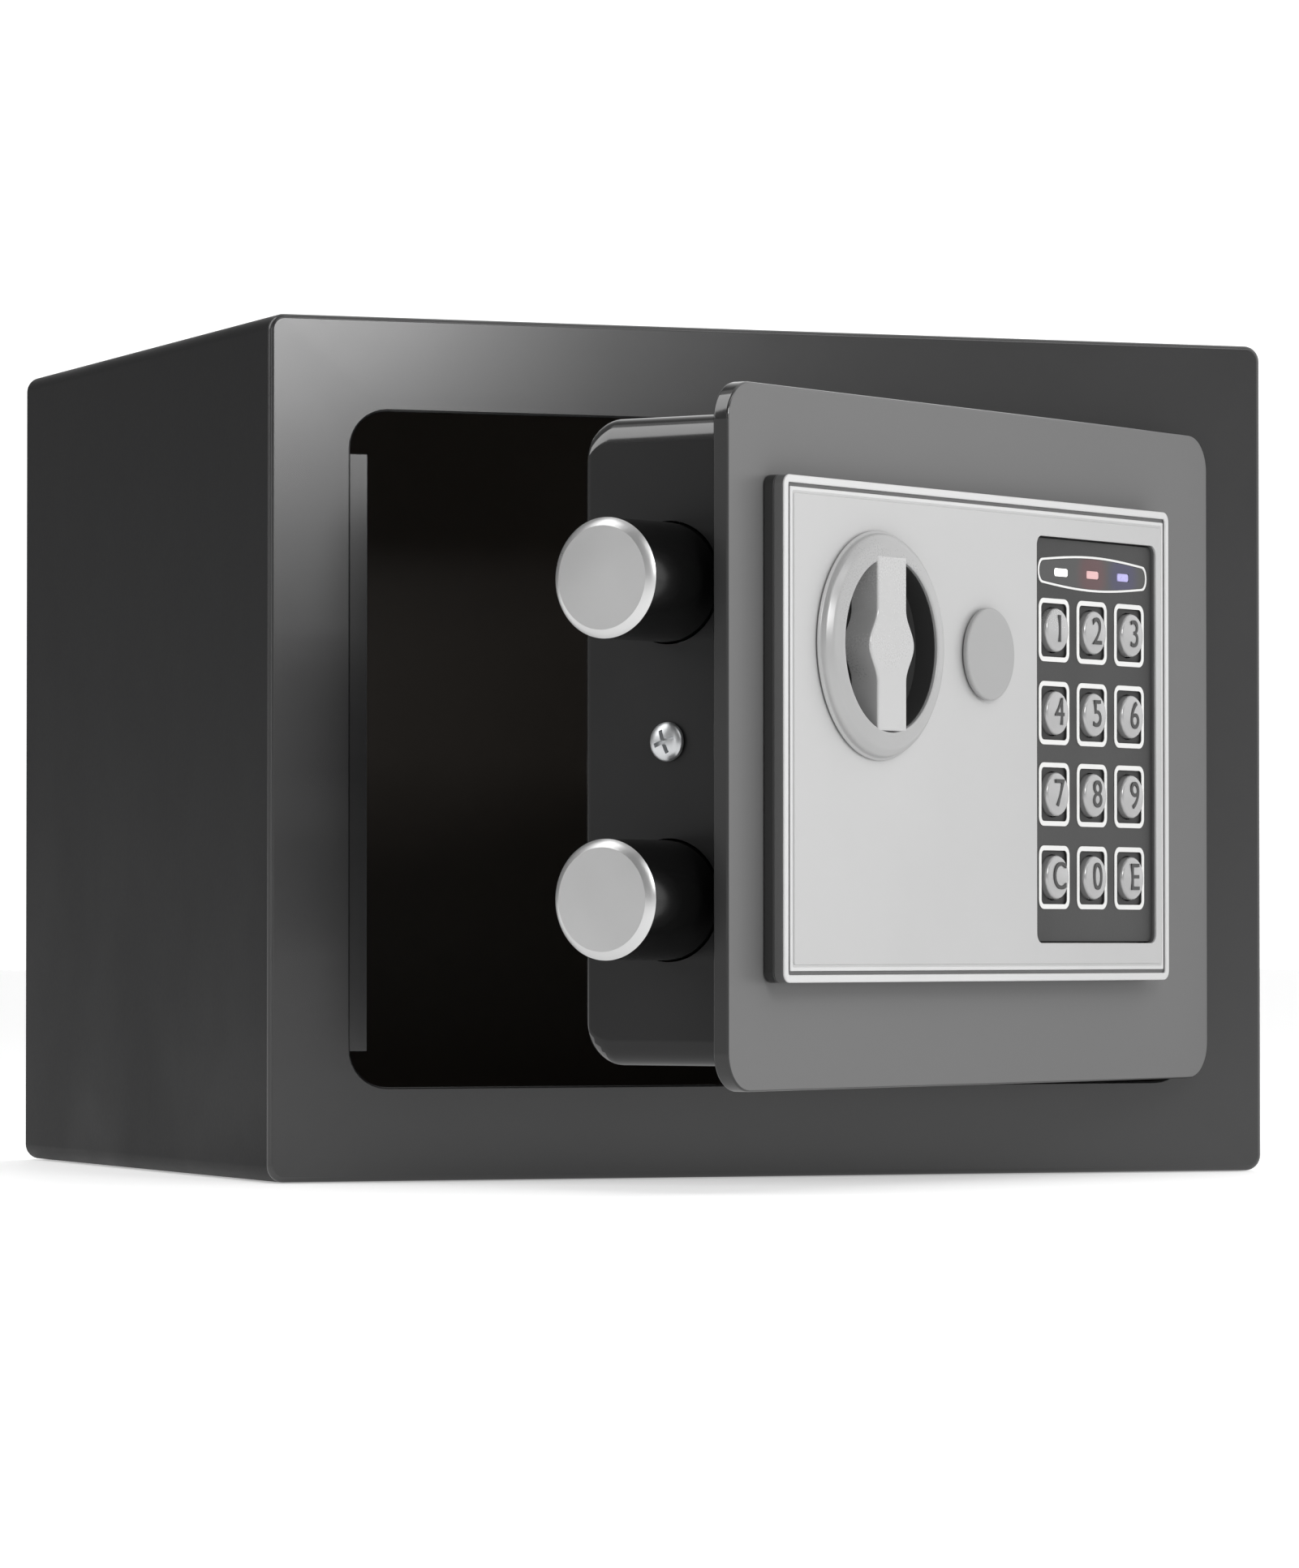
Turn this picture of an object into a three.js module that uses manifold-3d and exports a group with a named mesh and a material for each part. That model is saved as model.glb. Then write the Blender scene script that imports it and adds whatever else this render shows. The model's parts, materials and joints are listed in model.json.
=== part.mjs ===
// A small electronic safe with its door ajar and its two bolts thrown.
// Millimetres, +Z up. The origin is the middle of the underside, and the front faces -Y.
// Parts are drawn with y = 0 on the front face and y growing to the rear, with the door shut,
// and the door group then swings them out about the hinge line.

import * as THREE from 'three';
import { mergeVertices } from 'three/addons/utils/BufferGeometryUtils.js';
import Module from 'manifold-3d';

const wasm = await Module();
wasm.setup();

// ---------------------------------------------------------------- driving dimensions

const WIDTH = 220;
const DEPTH = 174;
const HEIGHT = 174;
const SHEET = 1.5;
const CASE_CORNER = 3.3;
const GAP = 0.3;
const ANCHOR_X = 60;
const ANCHOR_RADIUS = 5;

// Doorway in the front frame.
const DOORWAY = { left: -92.8, right: 92.8, bottom: 19, top: 154.9, corner: 7.8 };

// Strike strip behind the left margin.
const STRIKE = { weldEnd: -107.5, step: -100, edge: -87.8, bottom: 26, top: 146.6 };

// Door plate, flush with the frame when shut.
const DOOR_THICK = 3.5;
const DOOR = { left: -92.1, right: 91.5, bottom: 19.7, top: 154.2, corner: 7.5 };

// Hinge line, hidden behind the right-hand margin of the frame.
const PIVOT = { x: 100.2, y: 4 };
const REST_ANGLE = THREE.MathUtils.degToRad(35);
const PIN_RADIUS = 1.25;
const EYE_RADIUS = 2.1;
const RUNNING_CLEARANCE = 0.15;
const ARM_THICK = 3;
const ARM_HEIGHT = 14;
const ARM_REACH = 12;
const ARM_FLANGE_END = 31;
const EAR_THICK = 2;
const HINGE_HEIGHTS = { upper: 127, lower: 47 };

// Inner pan on the back of the door.
const PAN_SHEET = 1.2;
const PAN = { left: -84.4, right: 86, bottom: 24.4, top: 148.7, rear: 38.2, corner: 6 };
const PAN_FRONT = DOOR_THICK + GAP;
const SCREW_HEIGHT = 86.2;
const SCREW_HEAD = { radius: 3.8, height: 2, shank: 1.6, length: 7, slot: 2.2 };

// Bolts and their drive.
const BOLT_RADIUS = 11.45;
const BOLT_DEPTH = 18.6;
const BOLT_HEIGHTS = { upper: 116.6, lower: 56 };
const BOLT_THROW = 20;
const BOLT_END_X = -107.1;
const BOLT_TIP_LENGTH = 1.6;
const BOLT_INNER_X = -67;
const BOLT_CHAMFER = 1.2;
const CARRIAGE = { near: 9, far: 11, left: BOLT_INNER_X + GAP, spine: -53, bottom: 51, top: 132 };
const CARRIAGE_FLANGE = { thick: 2, far: 28 };
const GUIDE = { x: -39, upper: 127, lower: 73, radius: 2.5, slotHalf: 2.9 };
const BLOCK_TAB = { left: -36.5, right: -33.5, bottom: 60.5, armBottom: 66, armTop: 80 };

// Control panel.
const PANEL = { left: -80.2, right: 66.5, bottom: 40.3, top: 136.8, corner: 2 };
const PANEL_PROUD = 5;
const PANEL_BASE_PROUD = 2.5;
const KEYPAD = { left: 13.3, right: 61.2, bottom: 47.9, top: 129.6, corner: 2 };
const KEYPAD_SINK = 1;
const KEY_RADIUS = 4.4;
const KEY_PROUD = 1.5;
const KEY_COLUMNS = [21.45, 36.5, 51.6];
const KEY_ROWS = [110.85, 94.15, 77.8, 61.1];
const KEY_NAMES = [['1', '2', '3'], ['4', '5', '6'], ['7', '8', '9'], ['clear', '0', 'enter']];
const LED_HEIGHT = 122.6;
const LEDS = [
  { name: 'led_white', x: 24.3, colour: 0xf4f4ee },
  { name: 'led_red', x: 36.9, colour: 0xc97f78 },
  { name: 'led_blue', x: 49.15, colour: 0x7f86c9 },
];

// Turning knob.
const KNOB = { x: -47.2, z: 105.3, radius: 22.2, proud: 8.6, barrel: 18.1, well: 16.8, floor: 1.5 };
const KNOB_SLOPE = { inner: 2.4, rise: 2.2 };
const KNOB_WALL_GAP = 0.6;
const GRIP_WAIST = 5.2;
const GRIP_BULGE = 8.1;
const GRIP_BULGE_HEIGHT = 7.5;
const SHAFT_RADIUS = 4;
const CRANK_RADIUS = BOLT_THROW / Math.SQRT2;
const CRANK_PIN_RADIUS = 2;
const CRANK_SLOT_HALF = 2.6;
const CRANK_DISC = { near: 4.2, far: 6.6, radius: 17.5 };

// Emergency key lock under its round cover.
const LOCK = { x: -6.9, z: 105, radius: 7.5, bore: 4.8, plug: 4.5, front: -3.2, rear: 18 };
const COVER_RADIUS = 9.15;
const COVER_PROUD = 1.2;

// Solenoid that stops the carriage.
const SOLENOID = { x: -28.5, y: 14, bottom: 30, top: 50, width: 19, depth: 16, wall: 2 };
const PLUNGER = { radius: 2.5, bottom: 34, top: 59, collarRadius: 4.2, collarBottom: 56.5 };
const PLUNGER_BORE = 2.9;

// Batteries, board and reset switch.
const TRAY = { left: 8, right: 76, bottom: 46, top: 104, near: 18, far: 36.6, wall: 1.2 };
const CELL = { radius: 7.1, length: 50, pitch: 15.8, count: 4, depth: 28 };
const BATTERY_DOOR = { near: 38.5, far: 40.3, corner: 3 };
const BOARD = { left: 12, right: 78, bottom: 52, top: 132, near: 5, far: 6.6 };
const RESET = { x: 66, z: 124, radius: 3.6, hole: 4, near: 31.7, far: 39.7 };

const FINE = 40;
const COARSE = 16;

// ---------------------------------------------------------------- shapes and solids

function roundedOutline({ left, right, bottom, top, corner }) {
  const shape = new THREE.Shape();
  shape.moveTo(left + corner, bottom);
  shape.lineTo(right - corner, bottom);
  shape.absarc(right - corner, bottom + corner, corner, -Math.PI / 2, 0);
  shape.lineTo(right, top - corner);
  shape.absarc(right - corner, top - corner, corner, 0, Math.PI / 2);
  shape.lineTo(left + corner, top);
  shape.absarc(left + corner, top - corner, corner, Math.PI / 2, Math.PI);
  shape.lineTo(left, bottom + corner);
  shape.absarc(left + corner, bottom + corner, corner, Math.PI, 1.5 * Math.PI);
  return shape;
}

function grown(box, by) {
  return {
    left: box.left - by,
    right: box.right + by,
    bottom: box.bottom - by,
    top: box.top + by,
    corner: Math.max((box.corner ?? 0) + by, 0.2),
  };
}

function circle(x, y, radius) {
  return new THREE.Path().absarc(x, y, radius, 0, 2 * Math.PI);
}

function polygon(points) {
  return new THREE.Shape(points.map(([x, y]) => new THREE.Vector2(x, y)));
}

function extruded(shape, depth, curveSegments) {
  return new THREE.ExtrudeGeometry(shape, { depth, bevelEnabled: false, curveSegments });
}

// Drawn in x and z as seen from the front, and as thick as from near to far along y.
function frontSlab(shape, near, far, curveSegments = 6) {
  const slab = extruded(shape, far - near, curveSegments);
  return slab.rotateX(Math.PI / 2).translate(0, far, 0);
}

// Drawn in x and y as seen from above, and as tall as from bottom to top.
function planSlab(shape, bottom, top, curveSegments = 8) {
  const slab = extruded(shape, top - bottom, curveSegments);
  return slab.translate(0, 0, bottom);
}

// Drawn in y and z as seen from the right, and as long as from left to right.
function sideSlab(shape, left, right, curveSegments = 6) {
  const slab = extruded(shape, right - left, curveSegments);
  const toSide = new THREE.Matrix4().makeBasis(
    new THREE.Vector3(0, 1, 0),
    new THREE.Vector3(0, 0, 1),
    new THREE.Vector3(1, 0, 0),
  );
  return slab.applyMatrix4(toSide).translate(left, 0, 0);
}

function box(left, right, near, far, bottom, top) {
  const block = new THREE.BoxGeometry(right - left, far - near, top - bottom);
  return block.translate((left + right) / 2, (near + far) / 2, (bottom + top) / 2);
}

// A profile of radius and distance along the axis, turned about y, x or z.
function turned(profile, segments, axis = 'y') {
  const points = profile.map(([radius, along]) => new THREE.Vector2(radius, along));
  const lathe = new THREE.LatheGeometry(points, segments);
  if (axis === 'x') lathe.rotateZ(-Math.PI / 2);
  if (axis === 'z') lathe.rotateX(Math.PI / 2);
  return lathe;
}

function rod(radius, from, to, axis, segments = COARSE) {
  return turned([[0, from], [radius, from], [radius, to], [0, to]], segments, axis);
}

function toSolid(geometry) {
  const bare = geometry.clone();
  bare.deleteAttribute('normal');
  bare.deleteAttribute('uv');
  const merged = mergeVertices(bare, 1e-4);
  const vertProperties = new Float32Array(merged.attributes.position.array);
  const corners = Array.from(merged.index.array);
  const triangles = [];
  for (let i = 0; i < corners.length; i += 3) {
    const [a, b, c] = corners.slice(i, i + 3);
    if (a !== b && b !== c && c !== a) triangles.push(a, b, c);
  }
  const closed = new wasm.Manifold(
    new wasm.Mesh({ numProp: 3, vertProperties, triVerts: new Uint32Array(triangles) }),
  );
  if (closed.volume() > 0) return closed;
  for (let i = 0; i < triangles.length; i += 3) {
    [triangles[i], triangles[i + 1]] = [triangles[i + 1], triangles[i]];
  }
  return new wasm.Manifold(
    new wasm.Mesh({ numProp: 3, vertProperties, triVerts: new Uint32Array(triangles) }),
  );
}

function toGeometry(body) {
  const { vertProperties, triVerts } = body.getMesh();
  const geometry = new THREE.BufferGeometry();
  geometry.setAttribute('position', new THREE.BufferAttribute(vertProperties, 3));
  geometry.setIndex(new THREE.BufferAttribute(triVerts, 1));
  geometry.computeVertexNormals();
  return geometry;
}

function joined(...geometries) {
  return toGeometry(geometries.map(toSolid).reduce((sum, next) => sum.add(next)));
}

function cut(geometry, ...cutters) {
  return toGeometry(cutters.map(toSolid).reduce((rest, next) => rest.subtract(next), toSolid(geometry)));
}

function whole(geometry) {
  return toGeometry(toSolid(geometry));
}

const FINISHES = {
  caseBlack: { color: 0x353536, roughness: 0.4, metalness: 0.2 },
  frameGrey: { color: 0x4c4c4d, roughness: 0.38, metalness: 0.3 },
  doorGrey: { color: 0x7c7c7c, roughness: 0.45, metalness: 0.2 },
  panBlack: { color: 0x2b2b2c, roughness: 0.42, metalness: 0.2 },
  silver: { color: 0xcbcbcb, roughness: 0.35, metalness: 0.4 },
  knobSilver: { color: 0xbfbfbf, roughness: 0.3, metalness: 0.5 },
  coverGrey: { color: 0xadadad, roughness: 0.4, metalness: 0.3 },
  keypadGrey: { color: 0x5d5d5d, roughness: 0.5, metalness: 0 },
  keySilver: { color: 0xc4c4c4, roughness: 0.3, metalness: 0.6 },
  boltSteel: { color: 0xb4b4b4, roughness: 0.2, metalness: 1 },
  boltBlack: { color: 0x101011, roughness: 0.3, metalness: 0.6 },
  zinc: { color: 0xa9adb0, roughness: 0.4, metalness: 0.9 },
  brass: { color: 0xb59a57, roughness: 0.35, metalness: 0.9 },
  copper: { color: 0x9a5a32, roughness: 0.5, metalness: 0.6 },
  plastic: { color: 0x1c1c1d, roughness: 0.6, metalness: 0 },
  board: { color: 0x2c5a37, roughness: 0.6, metalness: 0 },
  cellBlack: { color: 0x26282c, roughness: 0.35, metalness: 0.1 },
  red: { color: 0xb0201c, roughness: 0.4, metalness: 0 },
};

function addPart(group, name, geometry, finish) {
  const mesh = new THREE.Mesh(geometry, new THREE.MeshStandardMaterial(finish));
  mesh.name = name;
  group.add(mesh);
}

// ---------------------------------------------------------------- casing

function frontFrame() {
  const outline = roundedOutline({
    left: -WIDTH / 2, right: WIDTH / 2, bottom: 0, top: HEIGHT, corner: CASE_CORNER,
  });
  outline.holes.push(roundedOutline(DOORWAY));
  return whole(frontSlab(outline, 0, SHEET));
}

function bodyWrap() {
  const outside = { left: -WIDTH / 2, right: WIDTH / 2, bottom: 0, top: HEIGHT, corner: CASE_CORNER };
  const outline = roundedOutline(outside);
  outline.holes.push(roundedOutline(grown(outside, -SHEET)));
  const anchors = [-ANCHOR_X, ANCHOR_X].map((x) => (
    rod(ANCHOR_RADIUS, -1, SHEET + 1, 'z').translate(x, DEPTH / 2, 0)
  ));
  return cut(frontSlab(outline, SHEET, DEPTH), ...anchors);
}

function backPanel() {
  const inside = { left: -WIDTH / 2, right: WIDTH / 2, bottom: 0, top: HEIGHT, corner: CASE_CORNER };
  const outline = roundedOutline(grown(inside, -SHEET - 0.1));
  [-ANCHOR_X, ANCHOR_X].forEach((x) => outline.holes.push(circle(x, HEIGHT / 2, ANCHOR_RADIUS)));
  return whole(frontSlab(outline, DEPTH - SHEET, DEPTH, 8));
}

// A joggled strip welded behind the left margin: the door rests on its front leg,
// and the bolts catch behind it.
function strikeStrip() {
  const { weldEnd, step, edge, bottom, top } = STRIKE;
  const near = SHEET + 0.1;
  const legNear = DOOR_THICK + 1;
  const outline = polygon([
    [weldEnd, near], [step, near], [step, legNear], [edge, legNear],
    [edge, legNear + SHEET], [step - SHEET, legNear + SHEET],
    [step - SHEET, near + SHEET], [weldEnd, near + SHEET],
  ]);
  return whole(planSlab(outline, bottom, top));
}

function hingeBracket(height) {
  const half = ARM_HEIGHT / 2 + GAP;
  const bottom = height - half - EAR_THICK;
  const top = height + half + EAR_THICK;
  const right = WIDTH / 2 - SHEET - 0.1;
  const block = box(PIVOT.x - 2.7, right, SHEET + GAP, PIVOT.y + 5, bottom, top);
  const throat = box(PIVOT.x - 4, right - 2, 0, PIVOT.y + 6, height - half, height + half);
  const bore = rod(PIN_RADIUS + RUNNING_CLEARANCE, bottom - 1, top + 1, 'z')
    .translate(PIVOT.x, PIVOT.y, 0);
  return cut(block, throat, bore);
}

function hingePin(height) {
  const half = ARM_HEIGHT / 2 + GAP + EAR_THICK;
  const headed = [[0, -half - 0.4], [PIN_RADIUS, -half - 0.4], [PIN_RADIUS, half + GAP],
    [PIN_RADIUS + 0.8, half + GAP], [PIN_RADIUS + 0.8, half + 1.3], [0, half + 1.3]];
  return whole(turned(headed, COARSE, 'z').translate(PIVOT.x, PIVOT.y, height));
}

// ---------------------------------------------------------------- door shell and hinge arms

function doorPlate() {
  const outline = roundedOutline(DOOR);
  outline.holes.push(circle(KNOB.x, KNOB.z, SHAFT_RADIUS + 0.4));
  outline.holes.push(circle(LOCK.x, LOCK.z, LOCK.radius + 0.4));
  outline.holes.push(circle(KEY_COLUMNS[1], LED_HEIGHT, 4));
  return whole(frontSlab(outline, 0, DOOR_THICK, 8));
}

// The outline of the pan in side view: square at the door, rounded at the rear.
function panOutline({ bottom, top, near, far, corner }) {
  const shape = new THREE.Shape();
  shape.moveTo(near, bottom);
  shape.lineTo(far - corner, bottom);
  shape.absarc(far - corner, bottom + corner, corner, -Math.PI / 2, 0);
  shape.lineTo(far, top - corner);
  shape.absarc(far - corner, top - corner, corner, 0, Math.PI / 2);
  shape.lineTo(near, top);
  return shape;
}

function innerPan() {
  const { left, right, bottom, top, rear, corner } = PAN;
  const skin = sideSlab(panOutline({ bottom, top, near: PAN_FRONT, far: rear, corner }), left, right);
  const hollow = sideSlab(panOutline({
    bottom: bottom + PAN_SHEET,
    top: top - PAN_SHEET,
    near: PAN_FRONT - 1,
    far: rear - PAN_SHEET,
    corner: corner - PAN_SHEET,
  }), left + PAN_SHEET, right - PAN_SHEET);
  const boltHoles = Object.values(BOLT_HEIGHTS).map((z) => (
    rod(BOLT_RADIUS + 0.35, left - 1, left + PAN_SHEET + 1, 'x', FINE).translate(0, BOLT_DEPTH, z)
  ));
  const screwHoles = [[left - 1, left + 3], [right - 3, right + 1]].map(([from, to]) => (
    rod(1.9, from, to, 'x').translate(0, BOLT_DEPTH, SCREW_HEIGHT)
  ));
  const trayHole = box(TRAY.left + 2, TRAY.right - 2, rear - 3, rear + 1, TRAY.bottom + 2, TRAY.top - 2);
  const resetHole = rod(RESET.hole, rear - 3, rear + 1, 'y').translate(RESET.x, 0, RESET.z);
  return cut(skin, hollow, ...boltHoles, ...screwHoles, trayHole, resetHole);
}

// Seen from above: an eye on the pin, a leg to the rear past the frame's edge, a leg to the left
// and a flange along the side of the pan.
function hingeArm(height) {
  const half = ARM_THICK / 2;
  const panSide = PAN.right - PIVOT.x + GAP;
  const outline = polygon([
    [-half, 0], [half, 0], [half, ARM_REACH], [panSide + 2.5, ARM_REACH],
    [panSide + 2.5, ARM_FLANGE_END - PIVOT.y], [panSide, ARM_FLANGE_END - PIVOT.y],
    [panSide, ARM_REACH - ARM_THICK], [-half, ARM_REACH - ARM_THICK],
  ]);
  const bottom = height - ARM_HEIGHT / 2;
  const top = height + ARM_HEIGHT / 2;
  const arm = joined(planSlab(outline, bottom, top), rod(EYE_RADIUS, bottom, top, 'z'));
  const bore = rod(PIN_RADIUS + RUNNING_CLEARANCE, bottom - 1, top + 1, 'z');
  return cut(arm, bore).translate(PIVOT.x, PIVOT.y, 0);
}

// A domed screw through the side of the pan; side is -1 on the bolt side and 1 on the hinge side.
function panScrew(side) {
  const { radius, height, shank, length, slot } = SCREW_HEAD;
  const dome = [[0, -length], [shank, -length], [shank, GAP], [radius, GAP], [radius, height * 0.5],
    [radius * 0.75, height * 0.85], [0, height]];
  const screw = toSolid(turned(dome, COARSE, 'x'));
  const slots = [
    box(height * 0.5, height + 1, -slot, slot, -0.4, 0.4),
    box(height * 0.5, height + 1, -0.4, 0.4, -slot, slot),
  ];
  const finished = slots.map(toSolid).reduce((rest, next) => rest.subtract(next), screw);
  const surface = side < 0 ? PAN.left : PAN.right;
  const geometry = toGeometry(finished);
  if (side < 0) geometry.rotateZ(Math.PI);
  return geometry.translate(surface, BOLT_DEPTH, SCREW_HEIGHT);
}

// ---------------------------------------------------------------- control panel and keypad

function panelLayer(near, far, keypadWindow) {
  const outline = roundedOutline(PANEL);
  outline.holes.push(circle(KNOB.x, KNOB.z, KNOB.barrel + 0.45));
  outline.holes.push(circle(LOCK.x, LOCK.z, LOCK.radius + 0.4));
  outline.holes.push(roundedOutline(keypadWindow));
  return whole(frontSlab(outline, near, far, 10));
}

function keypadPlate() {
  const outline = roundedOutline(grown(KEYPAD, -GAP));
  KEY_ROWS.forEach((z) => {
    KEY_COLUMNS.forEach((x) => outline.holes.push(circle(x, z, KEY_RADIUS + 0.4)));
  });
  LEDS.forEach(({ x }) => {
    outline.holes.push(roundedOutline({
      left: x - 1.9, right: x + 1.9, bottom: LED_HEIGHT - 1.1, top: LED_HEIGHT + 1.1, corner: 0.3,
    }));
  });
  return whole(frontSlab(outline, KEYPAD_SINK - PANEL_PROUD, -PANEL_BASE_PROUD - GAP, 5));
}

function keyButton(x, z) {
  const surface = KEYPAD_SINK - PANEL_PROUD;
  const dome = [[0, -1.2], [KEY_RADIUS, -1.2], [KEY_RADIUS, surface - KEY_PROUD * 0.5],
    [KEY_RADIUS * 0.7, surface - KEY_PROUD * 0.85], [0, surface - KEY_PROUD]];
  return whole(turned(dome, 20).translate(x, 0, z));
}

function indicator(x) {
  return whole(box(x - 1.6, x + 1.6, -PANEL_PROUD + 0.1, -1, LED_HEIGHT - 0.8, LED_HEIGHT + 0.8));
}

// ---------------------------------------------------------------- knob and bolt drive

// The grip is a vertical bar across the well, swelling in the middle.
function gripOutline() {
  const reach = KNOB.well + 0.5;
  const shape = new THREE.Shape();
  shape.moveTo(-GRIP_WAIST, -reach);
  shape.lineTo(GRIP_WAIST, -reach);
  shape.lineTo(GRIP_WAIST, -GRIP_BULGE_HEIGHT);
  shape.bezierCurveTo(GRIP_WAIST, -4, GRIP_BULGE, -4.5, GRIP_BULGE, 0);
  shape.bezierCurveTo(GRIP_BULGE, 4.5, GRIP_WAIST, 4, GRIP_WAIST, GRIP_BULGE_HEIGHT);
  shape.lineTo(GRIP_WAIST, reach);
  shape.lineTo(-GRIP_WAIST, reach);
  shape.lineTo(-GRIP_WAIST, GRIP_BULGE_HEIGHT);
  shape.bezierCurveTo(-GRIP_WAIST, 4, -GRIP_BULGE, 4.5, -GRIP_BULGE, 0);
  shape.bezierCurveTo(-GRIP_BULGE, -4.5, -GRIP_WAIST, -4, -GRIP_WAIST, -GRIP_BULGE_HEIGHT);
  return shape;
}

function knob() {
  const { radius, proud, barrel, well, floor } = KNOB;
  const back = -KNOB_WALL_GAP;
  const seat = -PANEL_PROUD - GAP;
  const { inner, rise } = KNOB_SLOPE;
  const bowl = turned([
    [0, back], [barrel, back], [barrel, seat], [radius, seat], [radius, rise - proud],
    [well + inner, GAP - proud], [well, GAP - proud], [well, back - floor], [0, back - floor],
  ], FINE);
  const grip = frontSlab(gripOutline(), -proud, back - floor + 0.5, 6);
  return joined(bowl, grip).translate(KNOB.x, 0, KNOB.z);
}

// The crank disc carries a pin above the shaft, turned back half of the knob's quarter turn.
function knobShaft() {
  const shaft = rod(SHAFT_RADIUS, -KNOB_WALL_GAP + GAP, CRANK_DISC.near + 1, 'y');
  const disc = rod(CRANK_DISC.radius, CRANK_DISC.near, CRANK_DISC.far, 'y', FINE);
  const offset = CRANK_RADIUS * Math.SQRT1_2;
  const pin = rod(CRANK_PIN_RADIUS, CRANK_DISC.far - 1, CARRIAGE.far + 1, 'y');
  pin.translate(-offset, 0, offset);
  return joined(shaft, disc, pin).translate(KNOB.x, 0, KNOB.z);
}

function boltBarrel(z) {
  const outer = BOLT_END_X + BOLT_TIP_LENGTH + GAP;
  return whole(rod(BOLT_RADIUS, outer, BOLT_INNER_X, 'x', FINE).translate(0, BOLT_DEPTH, z));
}

function boltTip(z) {
  const inner = BOLT_END_X + BOLT_TIP_LENGTH;
  const profile = [[0, BOLT_END_X], [BOLT_RADIUS - BOLT_CHAMFER, BOLT_END_X],
    [BOLT_RADIUS, BOLT_END_X + BOLT_CHAMFER], [BOLT_RADIUS, inner], [0, inner]];
  return whole(turned(profile, FINE, 'x').translate(0, BOLT_DEPTH, z));
}

function slotPath(left, right, z) {
  return roundedOutline({
    left: left - GUIDE.slotHalf,
    right: right + GUIDE.slotHalf,
    bottom: z - GUIDE.slotHalf,
    top: z + GUIDE.slotHalf,
    corner: GUIDE.slotHalf - 0.01,
  });
}

// An angle: its flange carries the two bolts, and its plate has the crank's slot, two guide slots
// and the tab that the solenoid stops.
function boltCarriage() {
  const { near, far, left, spine, bottom, top } = CARRIAGE;
  const upper = GUIDE.upper - 5;
  const outline = polygon([
    [left, bottom], [spine, bottom], [spine, BLOCK_TAB.armBottom], [BLOCK_TAB.left, BLOCK_TAB.armBottom],
    [BLOCK_TAB.left, BLOCK_TAB.bottom], [BLOCK_TAB.right, BLOCK_TAB.bottom],
    [BLOCK_TAB.right, BLOCK_TAB.armTop], [spine, BLOCK_TAB.armTop], [spine, upper],
    [BLOCK_TAB.right, upper], [BLOCK_TAB.right, top], [left, top],
  ]);
  const pinX = KNOB.x - CRANK_RADIUS * Math.SQRT1_2;
  const pinLow = KNOB.z + CRANK_RADIUS * Math.SQRT1_2;
  const pinHigh = KNOB.z + CRANK_RADIUS;
  outline.holes.push(roundedOutline({
    left: pinX - CRANK_SLOT_HALF,
    right: pinX + CRANK_SLOT_HALF,
    bottom: pinLow - CRANK_SLOT_HALF,
    top: pinHigh + CRANK_SLOT_HALF,
    corner: 1.5,
  }));
  [GUIDE.upper, GUIDE.lower].forEach((z) => {
    outline.holes.push(slotPath(GUIDE.x - BOLT_THROW, GUIDE.x, z));
  });
  const plate = frontSlab(outline, near, far);
  const flange = box(left, left + CARRIAGE_FLANGE.thick, near, CARRIAGE_FLANGE.far, bottom, top);
  return joined(plate, flange);
}

function guidePost(z) {
  const { radius } = GUIDE;
  const head = CARRIAGE.far + GAP;
  const profile = [[0, PAN_FRONT], [radius, PAN_FRONT], [radius, head], [radius + 2, head],
    [radius + 2, head + 1.6], [0, head + 1.6]];
  return whole(turned(profile, COARSE).translate(GUIDE.x, 0, z));
}

// ---------------------------------------------------------------- emergency lock

function lockBody() {
  const { radius, bore, front, rear } = LOCK;
  const tube = [[bore, front], [radius, front], [radius, rear], [bore, rear], [bore, front]];
  return whole(turned(tube, FINE).translate(LOCK.x, 0, LOCK.z));
}

function lockNut() {
  const acrossCorners = 11.5;
  const nut = rod(acrossCorners, PAN_FRONT, PAN_FRONT + 3, 'y', 6);
  const bore = rod(LOCK.radius + GAP, PAN_FRONT - 1, PAN_FRONT + 4, 'y', FINE);
  return cut(nut, bore).translate(LOCK.x, 0, LOCK.z);
}

function lockPlug() {
  const barrel = rod(LOCK.plug, LOCK.front + 0.2, LOCK.rear + 0.4, 'y', FINE);
  const keyway = box(-0.8, 0.8, LOCK.front - 1, LOCK.front + 6, -2.8, 2.8);
  return cut(barrel, keyway).translate(LOCK.x, 0, LOCK.z);
}

function lockCam() {
  const near = LOCK.rear + 0.7;
  const outline = roundedOutline({ left: -4.5, right: 4.5, bottom: -17, top: 4.5, corner: 4.4 });
  return whole(frontSlab(outline, near, near + 2)).translate(LOCK.x, 0, LOCK.z);
}

function keyCover() {
  const seat = -PANEL_PROUD - GAP;
  const face = seat - COVER_PROUD;
  const stem = LOCK.radius - 0.1;
  const profile = [[0, LOCK.front - 0.4], [stem, LOCK.front - 0.4], [stem, seat], [COVER_RADIUS, seat],
    [COVER_RADIUS, face + 0.4], [COVER_RADIUS - 0.4, face], [0, face]];
  return whole(turned(profile, FINE).translate(LOCK.x, 0, LOCK.z));
}

// ---------------------------------------------------------------- solenoid

function solenoidFrame() {
  const { x, y, bottom, top, width, depth, wall } = SOLENOID;
  const block = box(x - width / 2, x + width / 2, y - depth / 2, y + depth / 2, bottom, top);
  const inside = depth / 2 - wall;
  const window = box(x - width, x + width, y - inside, y + inside, bottom + wall, top - wall);
  const bore = rod(PLUNGER_BORE, top - wall - 1, top + 1, 'z').translate(x, y, 0);
  return cut(block, window, bore);
}

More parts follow.
